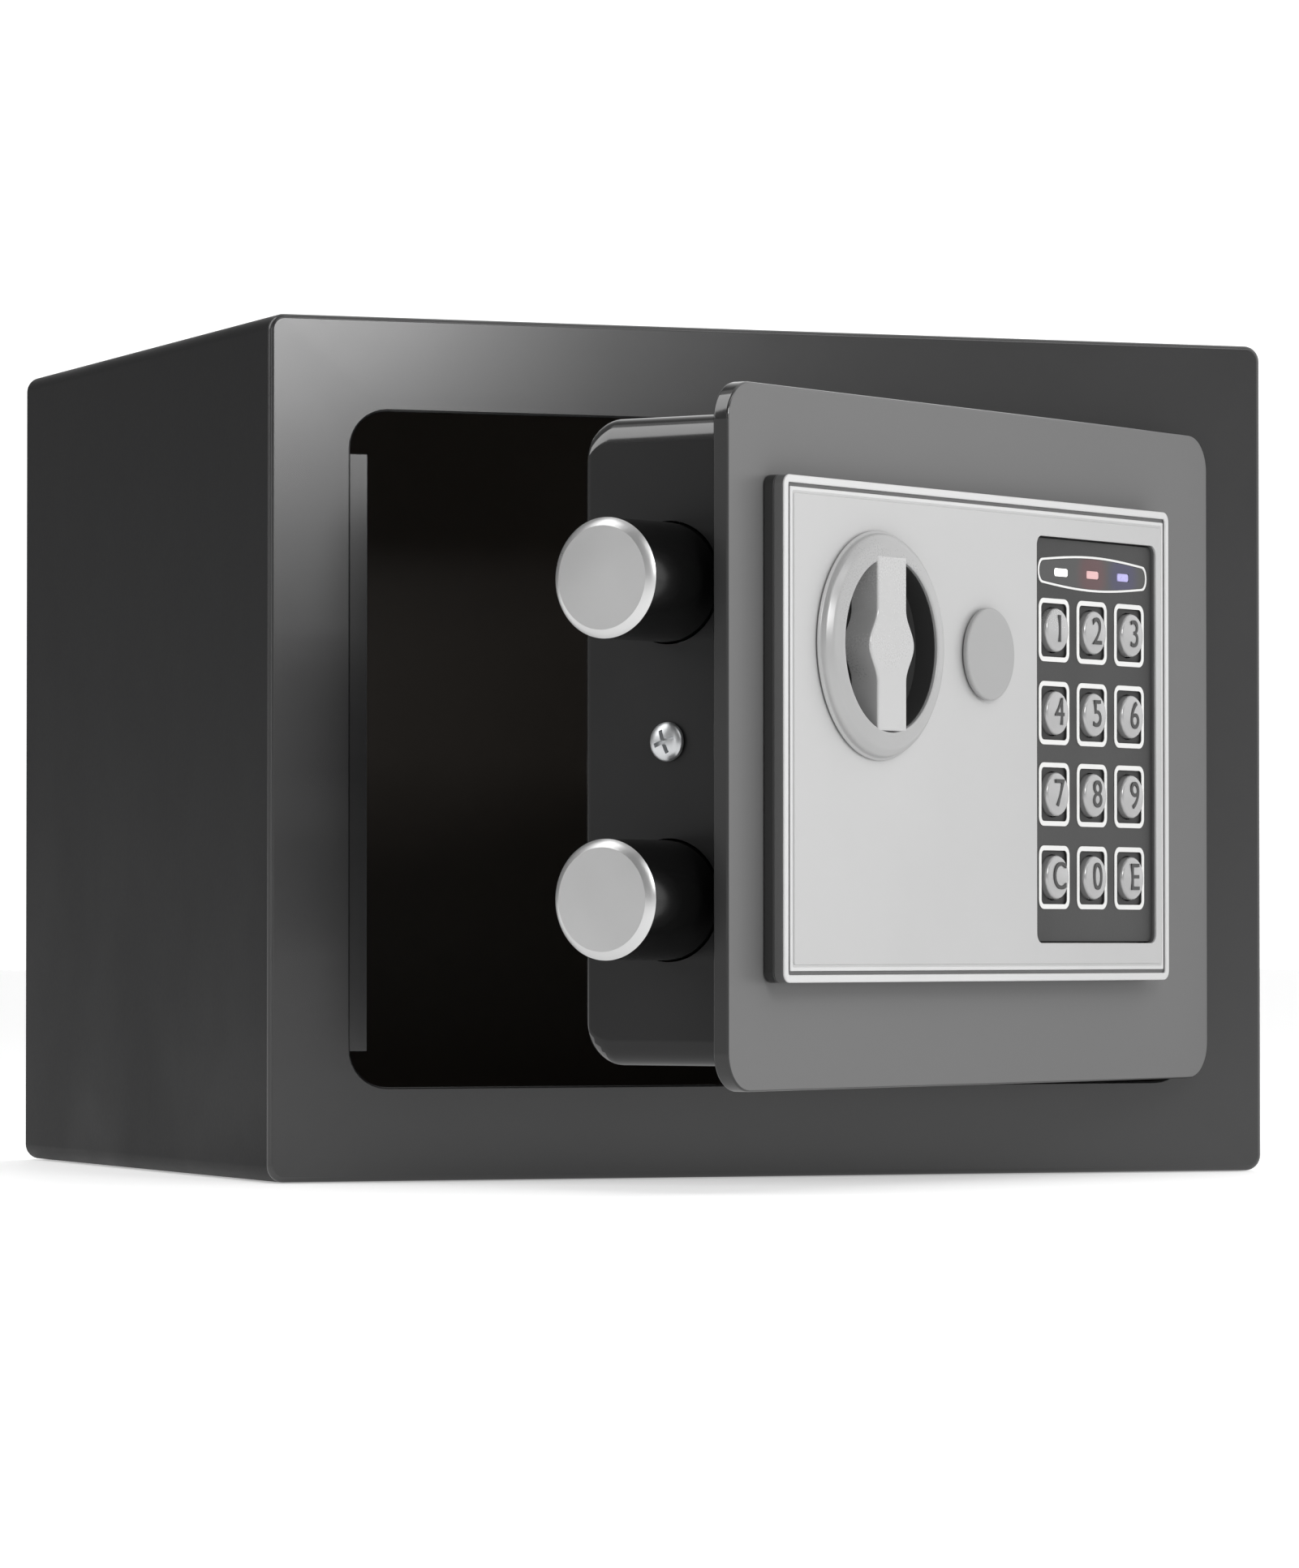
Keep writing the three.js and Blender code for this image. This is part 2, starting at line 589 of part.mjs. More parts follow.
function solenoidCoil() {
  const { x, y, bottom, top, depth, wall } = SOLENOID;
  const radius = depth / 2 - wall - GAP;
  const low = bottom + wall + GAP;
  const high = top - wall - GAP;
  const bore = PLUNGER_BORE;
  const tube = [[bore, low], [radius, low], [radius, high], [bore, high], [bore, low]];
  return whole(turned(tube, COARSE, 'z').translate(x, y, 0));
}

function solenoidPlunger() {
  const { radius, bottom, top, collarRadius, collarBottom } = PLUNGER;
  const profile = [[0, bottom], [radius, bottom], [radius, collarBottom], [collarRadius, collarBottom],
    [collarRadius, collarBottom + 1], [radius, collarBottom + 1], [radius, top], [0, top]];
  return whole(turned(profile, COARSE, 'z').translate(SOLENOID.x, SOLENOID.y, 0));
}

class Helix extends THREE.Curve {
  constructor(radius, bottom, top, turns) {
    super();
    Object.assign(this, { radius, bottom, top, turns });
  }

  getPoint(t, target = new THREE.Vector3()) {
    const angle = 2 * Math.PI * this.turns * t;
    const z = this.bottom + (this.top - this.bottom) * t;
    return target.set(this.radius * Math.cos(angle), this.radius * Math.sin(angle), z);
  }
}

function plungerSpring() {
  const wire = 0.35;
  const turns = 4;
  const margin = wire + GAP;
  const path = new Helix(3.5, SOLENOID.top + margin, PLUNGER.collarBottom - margin, turns);
  const section = new THREE.Shape();
  for (let i = 0; i < 6; i += 1) {
    const angle = (i * Math.PI) / 3;
    const point = [wire * Math.cos(angle), wire * Math.sin(angle)];
    if (i === 0) section.moveTo(...point);
    else section.lineTo(...point);
  }
  const coil = new THREE.ExtrudeGeometry(section, { steps: turns * 9, extrudePath: path });
  return whole(coil.translate(SOLENOID.x, SOLENOID.y, 0));
}

// ---------------------------------------------------------------- electronics in the pan

function circuitBoard() {
  const { left, right, bottom, top, near, far } = BOARD;
  return whole(box(left, right, near, far, bottom, top));
}

function batteryTray() {
  const { left, right, bottom, top, near, far, wall } = TRAY;
  const block = box(left, right, near, far, bottom, top);
  const hollow = box(left + wall, right - wall, near + wall, far + 1, bottom + wall, top - wall);
  return cut(block, hollow);
}

function cell(index) {
  const x = (TRAY.left + TRAY.right) / 2 + (index - (CELL.count - 1) / 2) * CELL.pitch;
  const middle = (TRAY.bottom + TRAY.top) / 2;
  const half = CELL.length / 2;
  const contact = 2.7;
  const profile = [[0, -half], [CELL.radius, -half], [CELL.radius, half - 1.2], [contact, half - 1.2],
    [contact, half], [0, half]];
  return whole(turned(profile, COARSE, 'z').translate(x, CELL.depth, middle));
}

function batteryDoor() {
  const outline = roundedOutline({ ...TRAY, corner: BATTERY_DOOR.corner });
  return whole(frontSlab(outline, BATTERY_DOOR.near, BATTERY_DOOR.far));
}

function resetSwitch() {
  const half = 5;
  const { x, z, near } = RESET;
  return whole(box(x - half, x + half, BOARD.far + GAP, near - 1.5, z - half, z + half));
}

function resetButton() {
  return whole(rod(RESET.radius, RESET.near, RESET.far, 'y').translate(RESET.x, 0, RESET.z));
}

// ---------------------------------------------------------------- assembly

const safe = new THREE.Group();
safe.position.y = -DEPTH / 2;

addPart(safe, 'front_frame', frontFrame(), FINISHES.frameGrey);
addPart(safe, 'body_wrap', bodyWrap(), FINISHES.caseBlack);
addPart(safe, 'back_panel', backPanel(), FINISHES.caseBlack);
addPart(safe, 'strike_strip', strikeStrip(), FINISHES.panBlack);
Object.entries(HINGE_HEIGHTS).forEach(([place, height]) => {
  addPart(safe, `hinge_bracket_${place}`, hingeBracket(height), FINISHES.panBlack);
  addPart(safe, `hinge_pin_${place}`, hingePin(height), FINISHES.zinc);
});

const hinge = new THREE.Group();
hinge.position.set(PIVOT.x, PIVOT.y, 0);
hinge.rotation.z = REST_ANGLE;
safe.add(hinge);

const door = new THREE.Group();
door.position.set(-PIVOT.x, -PIVOT.y, 0);
hinge.add(door);

addPart(door, 'door_plate', doorPlate(), FINISHES.doorGrey);
addPart(door, 'inner_pan', innerPan(), FINISHES.panBlack);
addPart(door, 'pan_screw_bolt_side', panScrew(-1), FINISHES.zinc);
addPart(door, 'pan_screw_hinge_side', panScrew(1), FINISHES.zinc);

const keypadWindow = { left: 15.7, right: 59.6, bottom: 53, top: 127, corner: 1 };
addPart(door, 'panel_base', panelLayer(-PANEL_BASE_PROUD, -GAP, keypadWindow), FINISHES.plastic);
addPart(door, 'panel_face', panelLayer(-PANEL_PROUD, -PANEL_BASE_PROUD - GAP, KEYPAD), FINISHES.silver);
addPart(door, 'keypad_plate', keypadPlate(), FINISHES.keypadGrey);
LEDS.forEach(({ name, x, colour }) => {
  addPart(door, name, indicator(x), { color: colour, roughness: 0.3, metalness: 0 });
});
KEY_NAMES.forEach((row, rowIndex) => {
  row.forEach((label, columnIndex) => {
    const button = keyButton(KEY_COLUMNS[columnIndex], KEY_ROWS[rowIndex]);
    addPart(door, `key_${label}`, button, FINISHES.keySilver);
  });
});

addPart(door, 'knob', knob(), FINISHES.knobSilver);
addPart(door, 'knob_shaft', knobShaft(), FINISHES.zinc);
addPart(door, 'bolt_carriage', boltCarriage(), FINISHES.zinc);
Object.entries(BOLT_HEIGHTS).forEach(([place, z]) => {
  addPart(door, `bolt_barrel_${place}`, boltBarrel(z), FINISHES.boltBlack);
  addPart(door, `bolt_tip_${place}`, boltTip(z), FINISHES.boltSteel);
});
addPart(door, 'guide_post_upper', guidePost(GUIDE.upper), FINISHES.zinc);
addPart(door, 'guide_post_lower', guidePost(GUIDE.lower), FINISHES.zinc);
Object.entries(HINGE_HEIGHTS).forEach(([place, height]) => {
  addPart(door, `hinge_arm_${place}`, hingeArm(height), FINISHES.panBlack);
});

addPart(door, 'lock_body', lockBody(), FINISHES.brass);
addPart(door, 'lock_nut', lockNut(), FINISHES.zinc);
addPart(door, 'lock_plug', lockPlug(), FINISHES.brass);
addPart(door, 'lock_cam', lockCam(), FINISHES.zinc);
addPart(door, 'key_cover', keyCover(), FINISHES.coverGrey);

addPart(door, 'solenoid_frame', solenoidFrame(), FINISHES.zinc);
addPart(door, 'solenoid_coil', solenoidCoil(), FINISHES.copper);
addPart(door, 'solenoid_plunger', solenoidPlunger(), FINISHES.zinc);
addPart(door, 'plunger_spring', plungerSpring(), FINISHES.zinc);

addPart(door, 'circuit_board', circuitBoard(), FINISHES.board);
addPart(door, 'battery_tray', batteryTray(), FINISHES.plastic);
for (let index = 0; index < CELL.count; index += 1) {
  addPart(door, `battery_${index + 1}`, cell(index), FINISHES.cellBlack);
}
addPart(door, 'battery_door', batteryDoor(), FINISHES.plastic);
addPart(door, 'reset_switch', resetSwitch(), FINISHES.plastic);
addPart(door, 'reset_button', resetButton(), FINISHES.red);

export default safe;
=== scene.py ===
import json
import math

import bmesh
import bpy
from mathutils import Matrix, Vector


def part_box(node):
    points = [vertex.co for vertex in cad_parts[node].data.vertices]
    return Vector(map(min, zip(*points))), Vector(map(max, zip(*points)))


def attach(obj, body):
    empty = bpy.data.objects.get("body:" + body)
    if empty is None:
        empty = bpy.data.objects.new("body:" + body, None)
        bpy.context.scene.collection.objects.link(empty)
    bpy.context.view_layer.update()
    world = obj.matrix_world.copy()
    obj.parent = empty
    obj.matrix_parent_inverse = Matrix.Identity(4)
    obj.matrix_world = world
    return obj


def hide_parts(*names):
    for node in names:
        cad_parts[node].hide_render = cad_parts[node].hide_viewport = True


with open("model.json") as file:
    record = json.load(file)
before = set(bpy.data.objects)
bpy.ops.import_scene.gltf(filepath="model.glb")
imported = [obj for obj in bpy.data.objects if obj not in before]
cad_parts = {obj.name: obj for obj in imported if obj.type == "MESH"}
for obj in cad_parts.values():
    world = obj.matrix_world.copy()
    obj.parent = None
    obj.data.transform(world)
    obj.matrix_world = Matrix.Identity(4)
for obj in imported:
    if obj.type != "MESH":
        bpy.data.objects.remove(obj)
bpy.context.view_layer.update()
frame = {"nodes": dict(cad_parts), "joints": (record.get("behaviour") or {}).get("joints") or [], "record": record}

# The pieces' sizes are millimetres: x to the right, y as depth behind the front face, z up, with the
# door shut. CASE takes such a point to its place on the casing, and DOOR to its place on the door.
MM = 0.001
JOINTS = {joint["name"]: joint for joint in frame["joints"]}
PIVOT = Vector(JOINTS["door_swing"]["pos_m"])
ALONG_DOOR = Vector(JOINTS["bolt_throw"]["axis"])
DOOR_ANGLE = math.atan2(ALONG_DOOR.y, ALONG_DOOR.x)
CASE = Matrix.Translation((0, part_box("front_frame")[0].y, 0)) @ Matrix.Scale(MM, 4)
DOOR = (
    Matrix.Translation((PIVOT.x, PIVOT.y, 0))
    @ Matrix.Rotation(DOOR_ANGLE, 4, "Z")
    @ Matrix.Translation((-PIVOT.x, -PIVOT.y, 0))
    @ CASE
)


def extents(node, place):
    """A CAD node's lowest and highest corner in millimetres, in the casing's or the door's own frame."""
    back = place.inverted()
    points = [back @ vertex.co for vertex in frame["nodes"][node].data.vertices]
    low = Vector([min(p[i] for p in points) for i in range(3)])
    high = Vector([max(p[i] for p in points) for i in range(3)])
    return low, high


def middle(node, place=DOOR):
    low, high = extents(node, place)
    return (low + high) / 2


def turned(node):
    """The corners, the middle and the radius of a part of the door that is turned about y or x."""
    low, high = extents(node, DOOR)
    return low, high, (low + high) / 2, (high.z - low.z) / 2


# ------------------------------------------------------------------ camera, lights and floor

# In metres and degrees: a long lens, low and to the safe's left, turned a little upward.
CAMERA_PLACE = (-0.5515, -1.4369, 0.0473)
CAMERA_YAW = math.radians(21.18)
CAMERA_PITCH = math.radians(1.307)
CAMERA_LENS = 162.96
BRIGHT_SIDE = (0.97, 0.25, 0.0)
SKY_FADE = (0.05, 0.65)
DIM_SKY = 0.22
BRIGHT_SKY = 1.35
FLOOR_HALF = 12
FLOOR_DROP = 0.0002


def add_camera():
    data = bpy.data.cameras.new("camera")
    data.lens = CAMERA_LENS
    data.sensor_width = 36
    camera = bpy.data.objects.new("camera", data)
    camera.location = CAMERA_PLACE
    level = math.cos(CAMERA_PITCH)
    ahead = Vector((math.sin(CAMERA_YAW) * level, math.cos(CAMERA_YAW) * level, math.sin(CAMERA_PITCH)))
    camera.rotation_euler = ahead.to_track_quat("-Z", "Y").to_euler()
    bpy.context.scene.collection.objects.link(camera)
    bpy.context.scene.camera = camera


def add_softbox(name, place, target, size, power):
    data = bpy.data.lights.new(name, "AREA")
    data.shape = "RECTANGLE"
    data.size, data.size_y = size
    data.energy = power
    light = bpy.data.objects.new(name, data)
    light.location = place
    light.rotation_euler = (Vector(target) - Vector(place)).to_track_quat("-Z", "Y").to_euler()
    bpy.context.scene.collection.objects.link(light)


def add_world():
    """A pale studio, bright behind and to the right of the safe and dimmer to the front and left."""
    world = bpy.data.worlds.new("studio")
    world.use_nodes = True
    bpy.context.scene.world = world
    nodes, links = world.node_tree.nodes, world.node_tree.links
    background = nodes["Background"]
    background.inputs["Color"].default_value = (1, 1, 1, 1)
    direction = nodes.new("ShaderNodeTexCoord")
    toward = nodes.new("ShaderNodeVectorMath")
    toward.operation = "DOT_PRODUCT"
    toward.inputs[1].default_value = BRIGHT_SIDE
    shade = nodes.new("ShaderNodeMapRange")
    shade.interpolation_type = "SMOOTHSTEP"
    shade.inputs["From Min"].default_value = SKY_FADE[0]
    shade.inputs["From Max"].default_value = SKY_FADE[1]
    shade.inputs["To Min"].default_value = DIM_SKY
    shade.inputs["To Max"].default_value = BRIGHT_SKY
    links.new(direction.outputs["Generated"], toward.inputs[0])
    links.new(toward.outputs["Value"], shade.inputs["Value"])
    links.new(shade.outputs[0], background.inputs["Strength"])


def add_floor():
    mesh = bpy.data.meshes.new("floor")
    half = FLOOR_HALF
    corners = [(-half, -half, 0), (half, -half, 0), (half, half, 0), (-half, half, 0)]
    mesh.from_pydata(corners, [], [(0, 1, 2, 3)])
    floor = bpy.data.objects.new("floor", mesh)
    floor.location.z = -FLOOR_DROP
    bpy.context.scene.collection.objects.link(floor)
    mesh.materials.append(plain_floor_material())


# ------------------------------------------------------------------ materials


def noise(nodes, links, coordinates, scale, detail=3.0):
    texture = nodes.new("ShaderNodeTexNoise")
    texture.inputs["Scale"].default_value = scale
    texture.inputs["Detail"].default_value = detail
    links.new(coordinates, texture.inputs["Vector"])
    return texture.outputs["Fac"]


def spread(nodes, links, value, low, high):
    """Stretches the middle of a noise over low to high."""
    ramp = nodes.new("ShaderNodeMapRange")
    ramp.inputs["From Min"].default_value = 0.3
    ramp.inputs["From Max"].default_value = 0.7
    ramp.inputs["To Min"].default_value = low
    ramp.inputs["To Max"].default_value = high
    links.new(value, ramp.inputs["Value"])
    return ramp.outputs[0]


def material(name, colour, roughness, metallic=0.0, specular=0.5, tone=0.05, grain=900, bump=0.02,
             blotch=25, uneven=0.06, coat=0.0, glow=None):
    """A finish with uneven tone and gloss and, where bump isn't 0, a fine relief of bump mm.

    The grain and blotch scales are per metre.
    """
    made = bpy.data.materials.new(name)
    made.use_nodes = True
    nodes, links = made.node_tree.nodes, made.node_tree.links
    shader = nodes["Principled BSDF"]
    shader.inputs["Metallic"].default_value = metallic
    shader.inputs["Specular IOR Level"].default_value = specular
    shader.inputs["Coat Weight"].default_value = coat
    shader.inputs["Coat Roughness"].default_value = 0.15
    where = nodes.new("ShaderNodeTexCoord").outputs["Object"]

    wide = noise(nodes, links, where, blotch)
    fine = noise(nodes, links, where, grain, 2.0)
    mix = nodes.new("ShaderNodeMix")
    mix.data_type = "RGBA"
    mix.inputs["A"].default_value = (*[c * (1 - tone) for c in colour], 1)
    mix.inputs["B"].default_value = (*[min(c * (1 + tone), 1) for c in colour], 1)
    links.new(spread(nodes, links, wide, 0, 1), mix.inputs["Factor"])
    links.new(mix.outputs["Result"], shader.inputs["Base Color"])
    both = nodes.new("ShaderNodeMath")
    both.operation = "ADD"
    links.new(spread(nodes, links, wide, roughness - uneven, roughness + uneven), both.inputs[0])
    links.new(spread(nodes, links, fine, -uneven / 4, uneven / 4), both.inputs[1])
    links.new(both.outputs[0], shader.inputs["Roughness"])
    if bump:
        relief = nodes.new("ShaderNodeBump")
        relief.inputs["Strength"].default_value = 1.0
        relief.inputs["Distance"].default_value = bump * MM
        links.new(fine, relief.inputs["Height"])
        links.new(relief.outputs["Normal"], shader.inputs["Normal"])
    if glow:
        shader.inputs["Emission Color"].default_value = (*glow[0], 1)
        shader.inputs["Emission Strength"].default_value = glow[1]
    return made


# Painted glow: the colour that the red and the blue light paint onto the window round them, fading with distance.
PAINTED_LED_GLOW = {"led_red": (0.085, 0.028, 0.032), "led_blue": (0.03, 0.028, 0.085)}
GLOW_PAINT_REACH = 0.0075
GLOW_PAINT_CORE = 0.003
GLOW_PAINT_STRENGTH = 0.8


def window_material():
    """The grey window round the indicator lights, with the red and the blue light's glow painted into its colour.
    """
    made = material("light_window", (0.04, 0.04, 0.04), 0.45, tone=0.03, grain=2500, bump=0.003)
    nodes, links = made.node_tree.nodes, made.node_tree.links
    shader = nodes["Principled BSDF"]
    colour = shader.inputs["Base Color"].links[0].from_socket
    place = nodes.new("ShaderNodeTexCoord")
    for led, glow_colour in PAINTED_LED_GLOW.items():
        distance = nodes.new("ShaderNodeVectorMath")
        distance.operation = "DISTANCE"
        distance.inputs[1].default_value = DOOR @ middle(led)
        links.new(place.outputs["Object"], distance.inputs[0])
        fade = nodes.new("ShaderNodeMapRange")
        fade.interpolation_type = "SMOOTHSTEP"
        fade.inputs["From Min"].default_value = GLOW_PAINT_REACH
        fade.inputs["From Max"].default_value = GLOW_PAINT_CORE
        fade.inputs["To Max"].default_value = GLOW_PAINT_STRENGTH
        links.new(distance.outputs["Value"], fade.inputs["Value"])
        blend = nodes.new("ShaderNodeMix")
        blend.data_type = "RGBA"
        blend.inputs["B"].default_value = (*glow_colour, 1)
        links.new(fade.outputs[0], blend.inputs["Factor"])
        links.new(colour, blend.inputs["A"])
        colour = blend.outputs["Result"]
    links.new(colour, shader.inputs["Base Color"])
    return made


def plain_floor_material():
    return material("pale_floor", (0.88, 0.88, 0.88), 0.6, specular=0.2, tone=0.01, grain=40, bump=0,
                    blotch=2, uneven=0.02, glow=((1, 1, 1), 0.42))


def make_materials():
    return {
        # case_paint and frame_paint are one paint: frame_paint is a slightly lighter, glossier copy for the
        # casing's front, painted light.
        "case_paint": material("case_paint", (0.011, 0.011, 0.0113), 0.42, specular=0.05, tone=0.08,
                               bump=0.006, uneven=0.04),
        "frame_paint": material("frame_paint", (0.013, 0.013, 0.0134), 0.26, specular=0.9, grain=260,
                                bump=0, uneven=0.012),
        "interior": material("interior", (0.085, 0.072, 0.06), 0.42, specular=0.35, bump=0.015),
        "door_paint": material("door_paint", (0.132, 0.132, 0.132), 0.34, specular=0.2, tone=0.015,
                               grain=260, bump=0, blotch=12, uneven=0.012),
        # A darker copy of the door's paint for the door plate's edges: painted shade.
        "shaded_edge_paint": material("shaded_edge_paint", (0.03, 0.03, 0.03), 0.3, specular=0.3, tone=0.015,
                               grain=260, bump=0, uneven=0.012),
        "pan_paint": material("pan_paint", (0.013, 0.013, 0.0132), 0.3, specular=0.25, tone=0.03,
                              grain=260, bump=0, uneven=0.02),
        "gloss_black": material("gloss_black", (0.012, 0.012, 0.012), 0.11, specular=1.0, tone=0.02,
                                grain=260, bump=0, uneven=0.012),
        "panel_silver": material("panel_silver", (0.44, 0.44, 0.44), 0.38, metallic=0.1, tone=0.02,
                                 grain=2600, bump=0.003, uneven=0.03),
        "rim_silver": material("rim_silver", (0.56, 0.56, 0.56), 0.34, metallic=0.1, tone=0.02,
                               grain=2600, bump=0.002, uneven=0.03),
        "panel_edge": material("panel_edge", (0.09, 0.09, 0.09), 0.45, bump=0.01),
        "panel_base_black": material("panel_base_black", (0.02, 0.02, 0.02), 0.45, bump=0.01),
        "keypad_grey": material("keypad_grey", (0.023, 0.023, 0.023), 0.55, tone=0.06, grain=2200,
                                bump=0.01),
        "keypad_dark": material("keypad_dark", (0.015, 0.015, 0.015), 0.6, grain=2200, bump=0.01),
        "print_white": material("print_white", (0.72, 0.72, 0.71), 0.5, tone=0.03, grain=3000, bump=0.004),
        "key_silver": material("key_silver", (0.4, 0.4, 0.4), 0.26, metallic=0.5, tone=0.03, grain=3000,
                               bump=0.001, uneven=0.02),
        "legend_ink": material("legend_ink", (0.03, 0.03, 0.03), 0.5, grain=3000, bump=0.004),
        "knob_silver": material("knob_silver", (0.45, 0.45, 0.45), 0.32, metallic=0.25, tone=0.03,
                                grain=2600, bump=0.006),
        # A darker copy of the knob's silver for its sloping ring: painted shade.
        "ring_silver": material("ring_silver", (0.35, 0.35, 0.35), 0.32, metallic=0.25, tone=0.03,
                                grain=2600, bump=0.004),
        # A dark grey lining for the knob's wells: painted shade in the pockets.
        "knob_well": material("knob_well", (0.028, 0.028, 0.028), 0.6, specular=0.1, bump=0.004),
        "cover_grey": material("cover_grey", (0.31, 0.31, 0.31), 0.42, tone=0.03, grain=2600, bump=0.006),
        "bolt_black": material("bolt_black", (0.004, 0.004, 0.004), 0.17, specular=0.3, tone=0.1, bump=0,
                               uneven=0.03),
        "bolt_steel": material("bolt_steel", (0.53, 0.53, 0.53), 0.3, metallic=0.85, tone=0.04,
                               grain=1800, bump=0.006, uneven=0.05),
        "zinc": material("zinc", (0.55, 0.56, 0.57), 0.35, metallic=0.9, tone=0.12, blotch=120, bump=0.02),
        "brass": material("brass", (0.6, 0.45, 0.18), 0.3, metallic=1.0, grain=2500, bump=0.01),
        "copper": material("copper", (0.5, 0.2, 0.09), 0.4, metallic=0.8, grain=1500, bump=0.05),
        "black_plastic": material("black_plastic", (0.02, 0.02, 0.021), 0.5, grain=1800, bump=0.03),
        "circuit_board": material("circuit_board", (0.03, 0.12, 0.05), 0.4, grain=600, bump=0.02),
        "battery_sleeve": material("battery_sleeve", (0.03, 0.035, 0.045), 0.25, coat=0.4, bump=0.004),
        "red_plastic": material("red_plastic", (0.5, 0.02, 0.015), 0.3, coat=0.3, bump=0.004),
        "led_white": material("led_white", (0.9, 0.9, 0.88), 0.3, glow=((1, 1, 0.97), 0.9), bump=0),
        "led_red": material("led_red", (0.5, 0.3, 0.3), 0.3, glow=((1, 0.6, 0.6), 0.22), bump=0),
        "led_blue": material("led_blue", (0.32, 0.3, 0.55), 0.3, glow=((0.6, 0.55, 1), 0.22), bump=0),
    }


# ------------------------------------------------------------------ outlines and meshes

PLANES = {
    "front": Matrix(((1, 0, 0, 0), (0, 0, -1, 0), (0, 1, 0, 0), (0, 0, 0, 1))),
    "plan": Matrix.Identity(4),
    "side": Matrix(((0, 0, 1, 0), (1, 0, 0, 0), (0, 1, 0, 0), (0, 0, 0, 1))),
}
NORMALS = {"front": Vector((0, 1, 0)), "plan": Vector((0, 0, 1)), "side": Vector((1, 0, 0))}


def arc(x, y, radius, start, end, steps):
    """Points on an arc, its angles in quarter turns."""
    angles = [math.pi / 2 * (start + (end - start) * i / steps) for i in range(steps + 1)]
    return [(x + radius * math.cos(a), y + radius * math.sin(a)) for a in angles]


def rounded(left, right, bottom, top, corner, steps=8):
    return (
        arc(right - corner, bottom + corner, corner, -1, 0, steps)
        + arc(right - corner, top - corner, corner, 0, 1, steps)
        + arc(left + corner, top - corner, corner, 1, 2, steps)
        + arc(left + corner, bottom + corner, corner, 2, 3, steps)
    )


def circle(x, y, radius, steps=64):
    return arc(x, y, radius, 0, 4, steps)[:-1]


def tidy(mesh, angle=32):
    """Merges touching corners, turns the faces outward and smooths all but the sharp edges."""
    work = bmesh.new()
    work.from_mesh(mesh)
    bmesh.ops.remove_doubles(work, verts=work.verts, dist=0.0005)
    bmesh.ops.dissolve_degenerate(work, edges=work.edges, dist=0.0004)
    bmesh.ops.recalc_face_normals(work, faces=work.faces)
    work.to_mesh(mesh)
    work.free()
    mesh.shade_smooth()
    mesh.set_sharp_from_angle(angle=math.radians(angle))
    return mesh


def slab(outlines, low, high, bevel=0.4, plane="front", steps=3):
    """A plate with holes and rounded rims: the first outline is its edge, and the others are holes."""
    curve = bpy.data.curves.new("slab", "CURVE")
    curve.dimensions = "2D"
    curve.fill_mode = "BOTH"
    curve.extrude = (high - low) / 2 - bevel
    curve.bevel_depth = bevel
    curve.bevel_resolution = steps - 1
    curve.offset = -bevel
    for outline in outlines:
        spline = curve.splines.new("POLY")
        spline.points.add(len(outline) - 1)
        for point, (x, y) in zip(spline.points, outline):
            point.co = (x, y, 0, 1)
        spline.use_cyclic_u = True
    holder = bpy.data.objects.new("slab", curve)
    bpy.context.scene.collection.objects.link(holder)
    bpy.context.view_layer.update()
    mesh = bpy.data.meshes.new_from_object(holder.evaluated_get(bpy.context.evaluated_depsgraph_get()))
    bpy.data.objects.remove(holder)
    bpy.data.curves.remove(curve)
    mesh.transform(Matrix.Translation(NORMALS[plane] * (low + high) / 2) @ PLANES[plane])
    return tidy(mesh)


def lathe(profile, centre=(0, 0, 0), axis="y", steps=72):
    """A profile of (radius, distance along the axis) turned about an axis through centre."""
    turn = {"x": (1, 2, 0), "y": (2, 0, 1), "z": (0, 1, 2)}[axis]
    rings = []
    vertices = []
    for radius, along in profile:
        ring = []
        count = 1 if radius == 0 else steps
        for i in range(count):
            angle = 2 * math.pi * i / steps
            point = [0, 0, 0]
            point[turn[0]] = radius * math.cos(angle)
            point[turn[1]] = radius * math.sin(angle)
            point[turn[2]] = along
            ring.append(len(vertices))
            vertices.append(Vector(point) + Vector(centre))
        rings.append(ring)
    faces = []
    for below, above in zip(rings, rings[1:]):
        for i in range(steps):
            j = (i + 1) % steps
            corners = [below[i % len(below)], below[j % len(below)]]
            corners += [above[j % len(above)], above[i % len(above)]]
            face = list(dict.fromkeys(corners))
            if len(face) > 2:
                faces.append(face)
    mesh = bpy.data.meshes.new("lathe")
    mesh.from_pydata(vertices, [], faces)
    return tidy(mesh)


def rod(radius, low, high, centre, axis, steps=72):
    """A plain cylinder, to cut with."""
    return lathe([(0, low), (radius, low), (radius, high), (0, high)], centre, axis, steps)


def soften(profile, radius, steps=4):
    """Rounds each inner corner of an open profile that has room for it."""
    points = [Vector(p) for p in profile]
    result = [tuple(points[0])]
    for before, here, after in zip(points, points[1:], points[2:]):
        back, ahead = before - here, after - here
        reach = min(radius, back.length * 0.45, ahead.length * 0.45)
        start, end = here + back.normalized() * reach, here + ahead.normalized() * reach
        for i in range(steps + 1):
            t = i / steps
            result.append(tuple(start * (1 - t) ** 2 + here * 2 * t * (1 - t) + end * t * t))
    result.append(tuple(points[-1]))
    return result


def loft(loops, closed=True, capped=False):
    """Skins outlines that have as many points each, given as (outline, depth)."""
    vertices = [Vector((x, depth, z)) for outline, depth in loops for x, z in outline]
    count = len(loops[0][0])
    pairs = list(zip(range(len(loops)), range(1, len(loops))))
    if closed:
        pairs.append((len(loops) - 1, 0))
    faces = []
    for a, b in pairs:
        for i in range(count):
            j = (i + 1) % count
            faces.append((a * count + i, a * count + j, b * count + j, b * count + i))
    if capped:
        faces.append(tuple(reversed(range(count))))
        faces.append(tuple(range(len(vertices) - count, len(vertices))))
    mesh = bpy.data.meshes.new("loft")
    mesh.from_pydata(vertices, [], faces)
    return tidy(mesh)


def joined(*meshes):
    work = bmesh.new()
    for mesh in meshes:
        work.from_mesh(mesh)
    whole = bpy.data.meshes.new("joined")
    work.to_mesh(whole)
    work.free()
    return whole


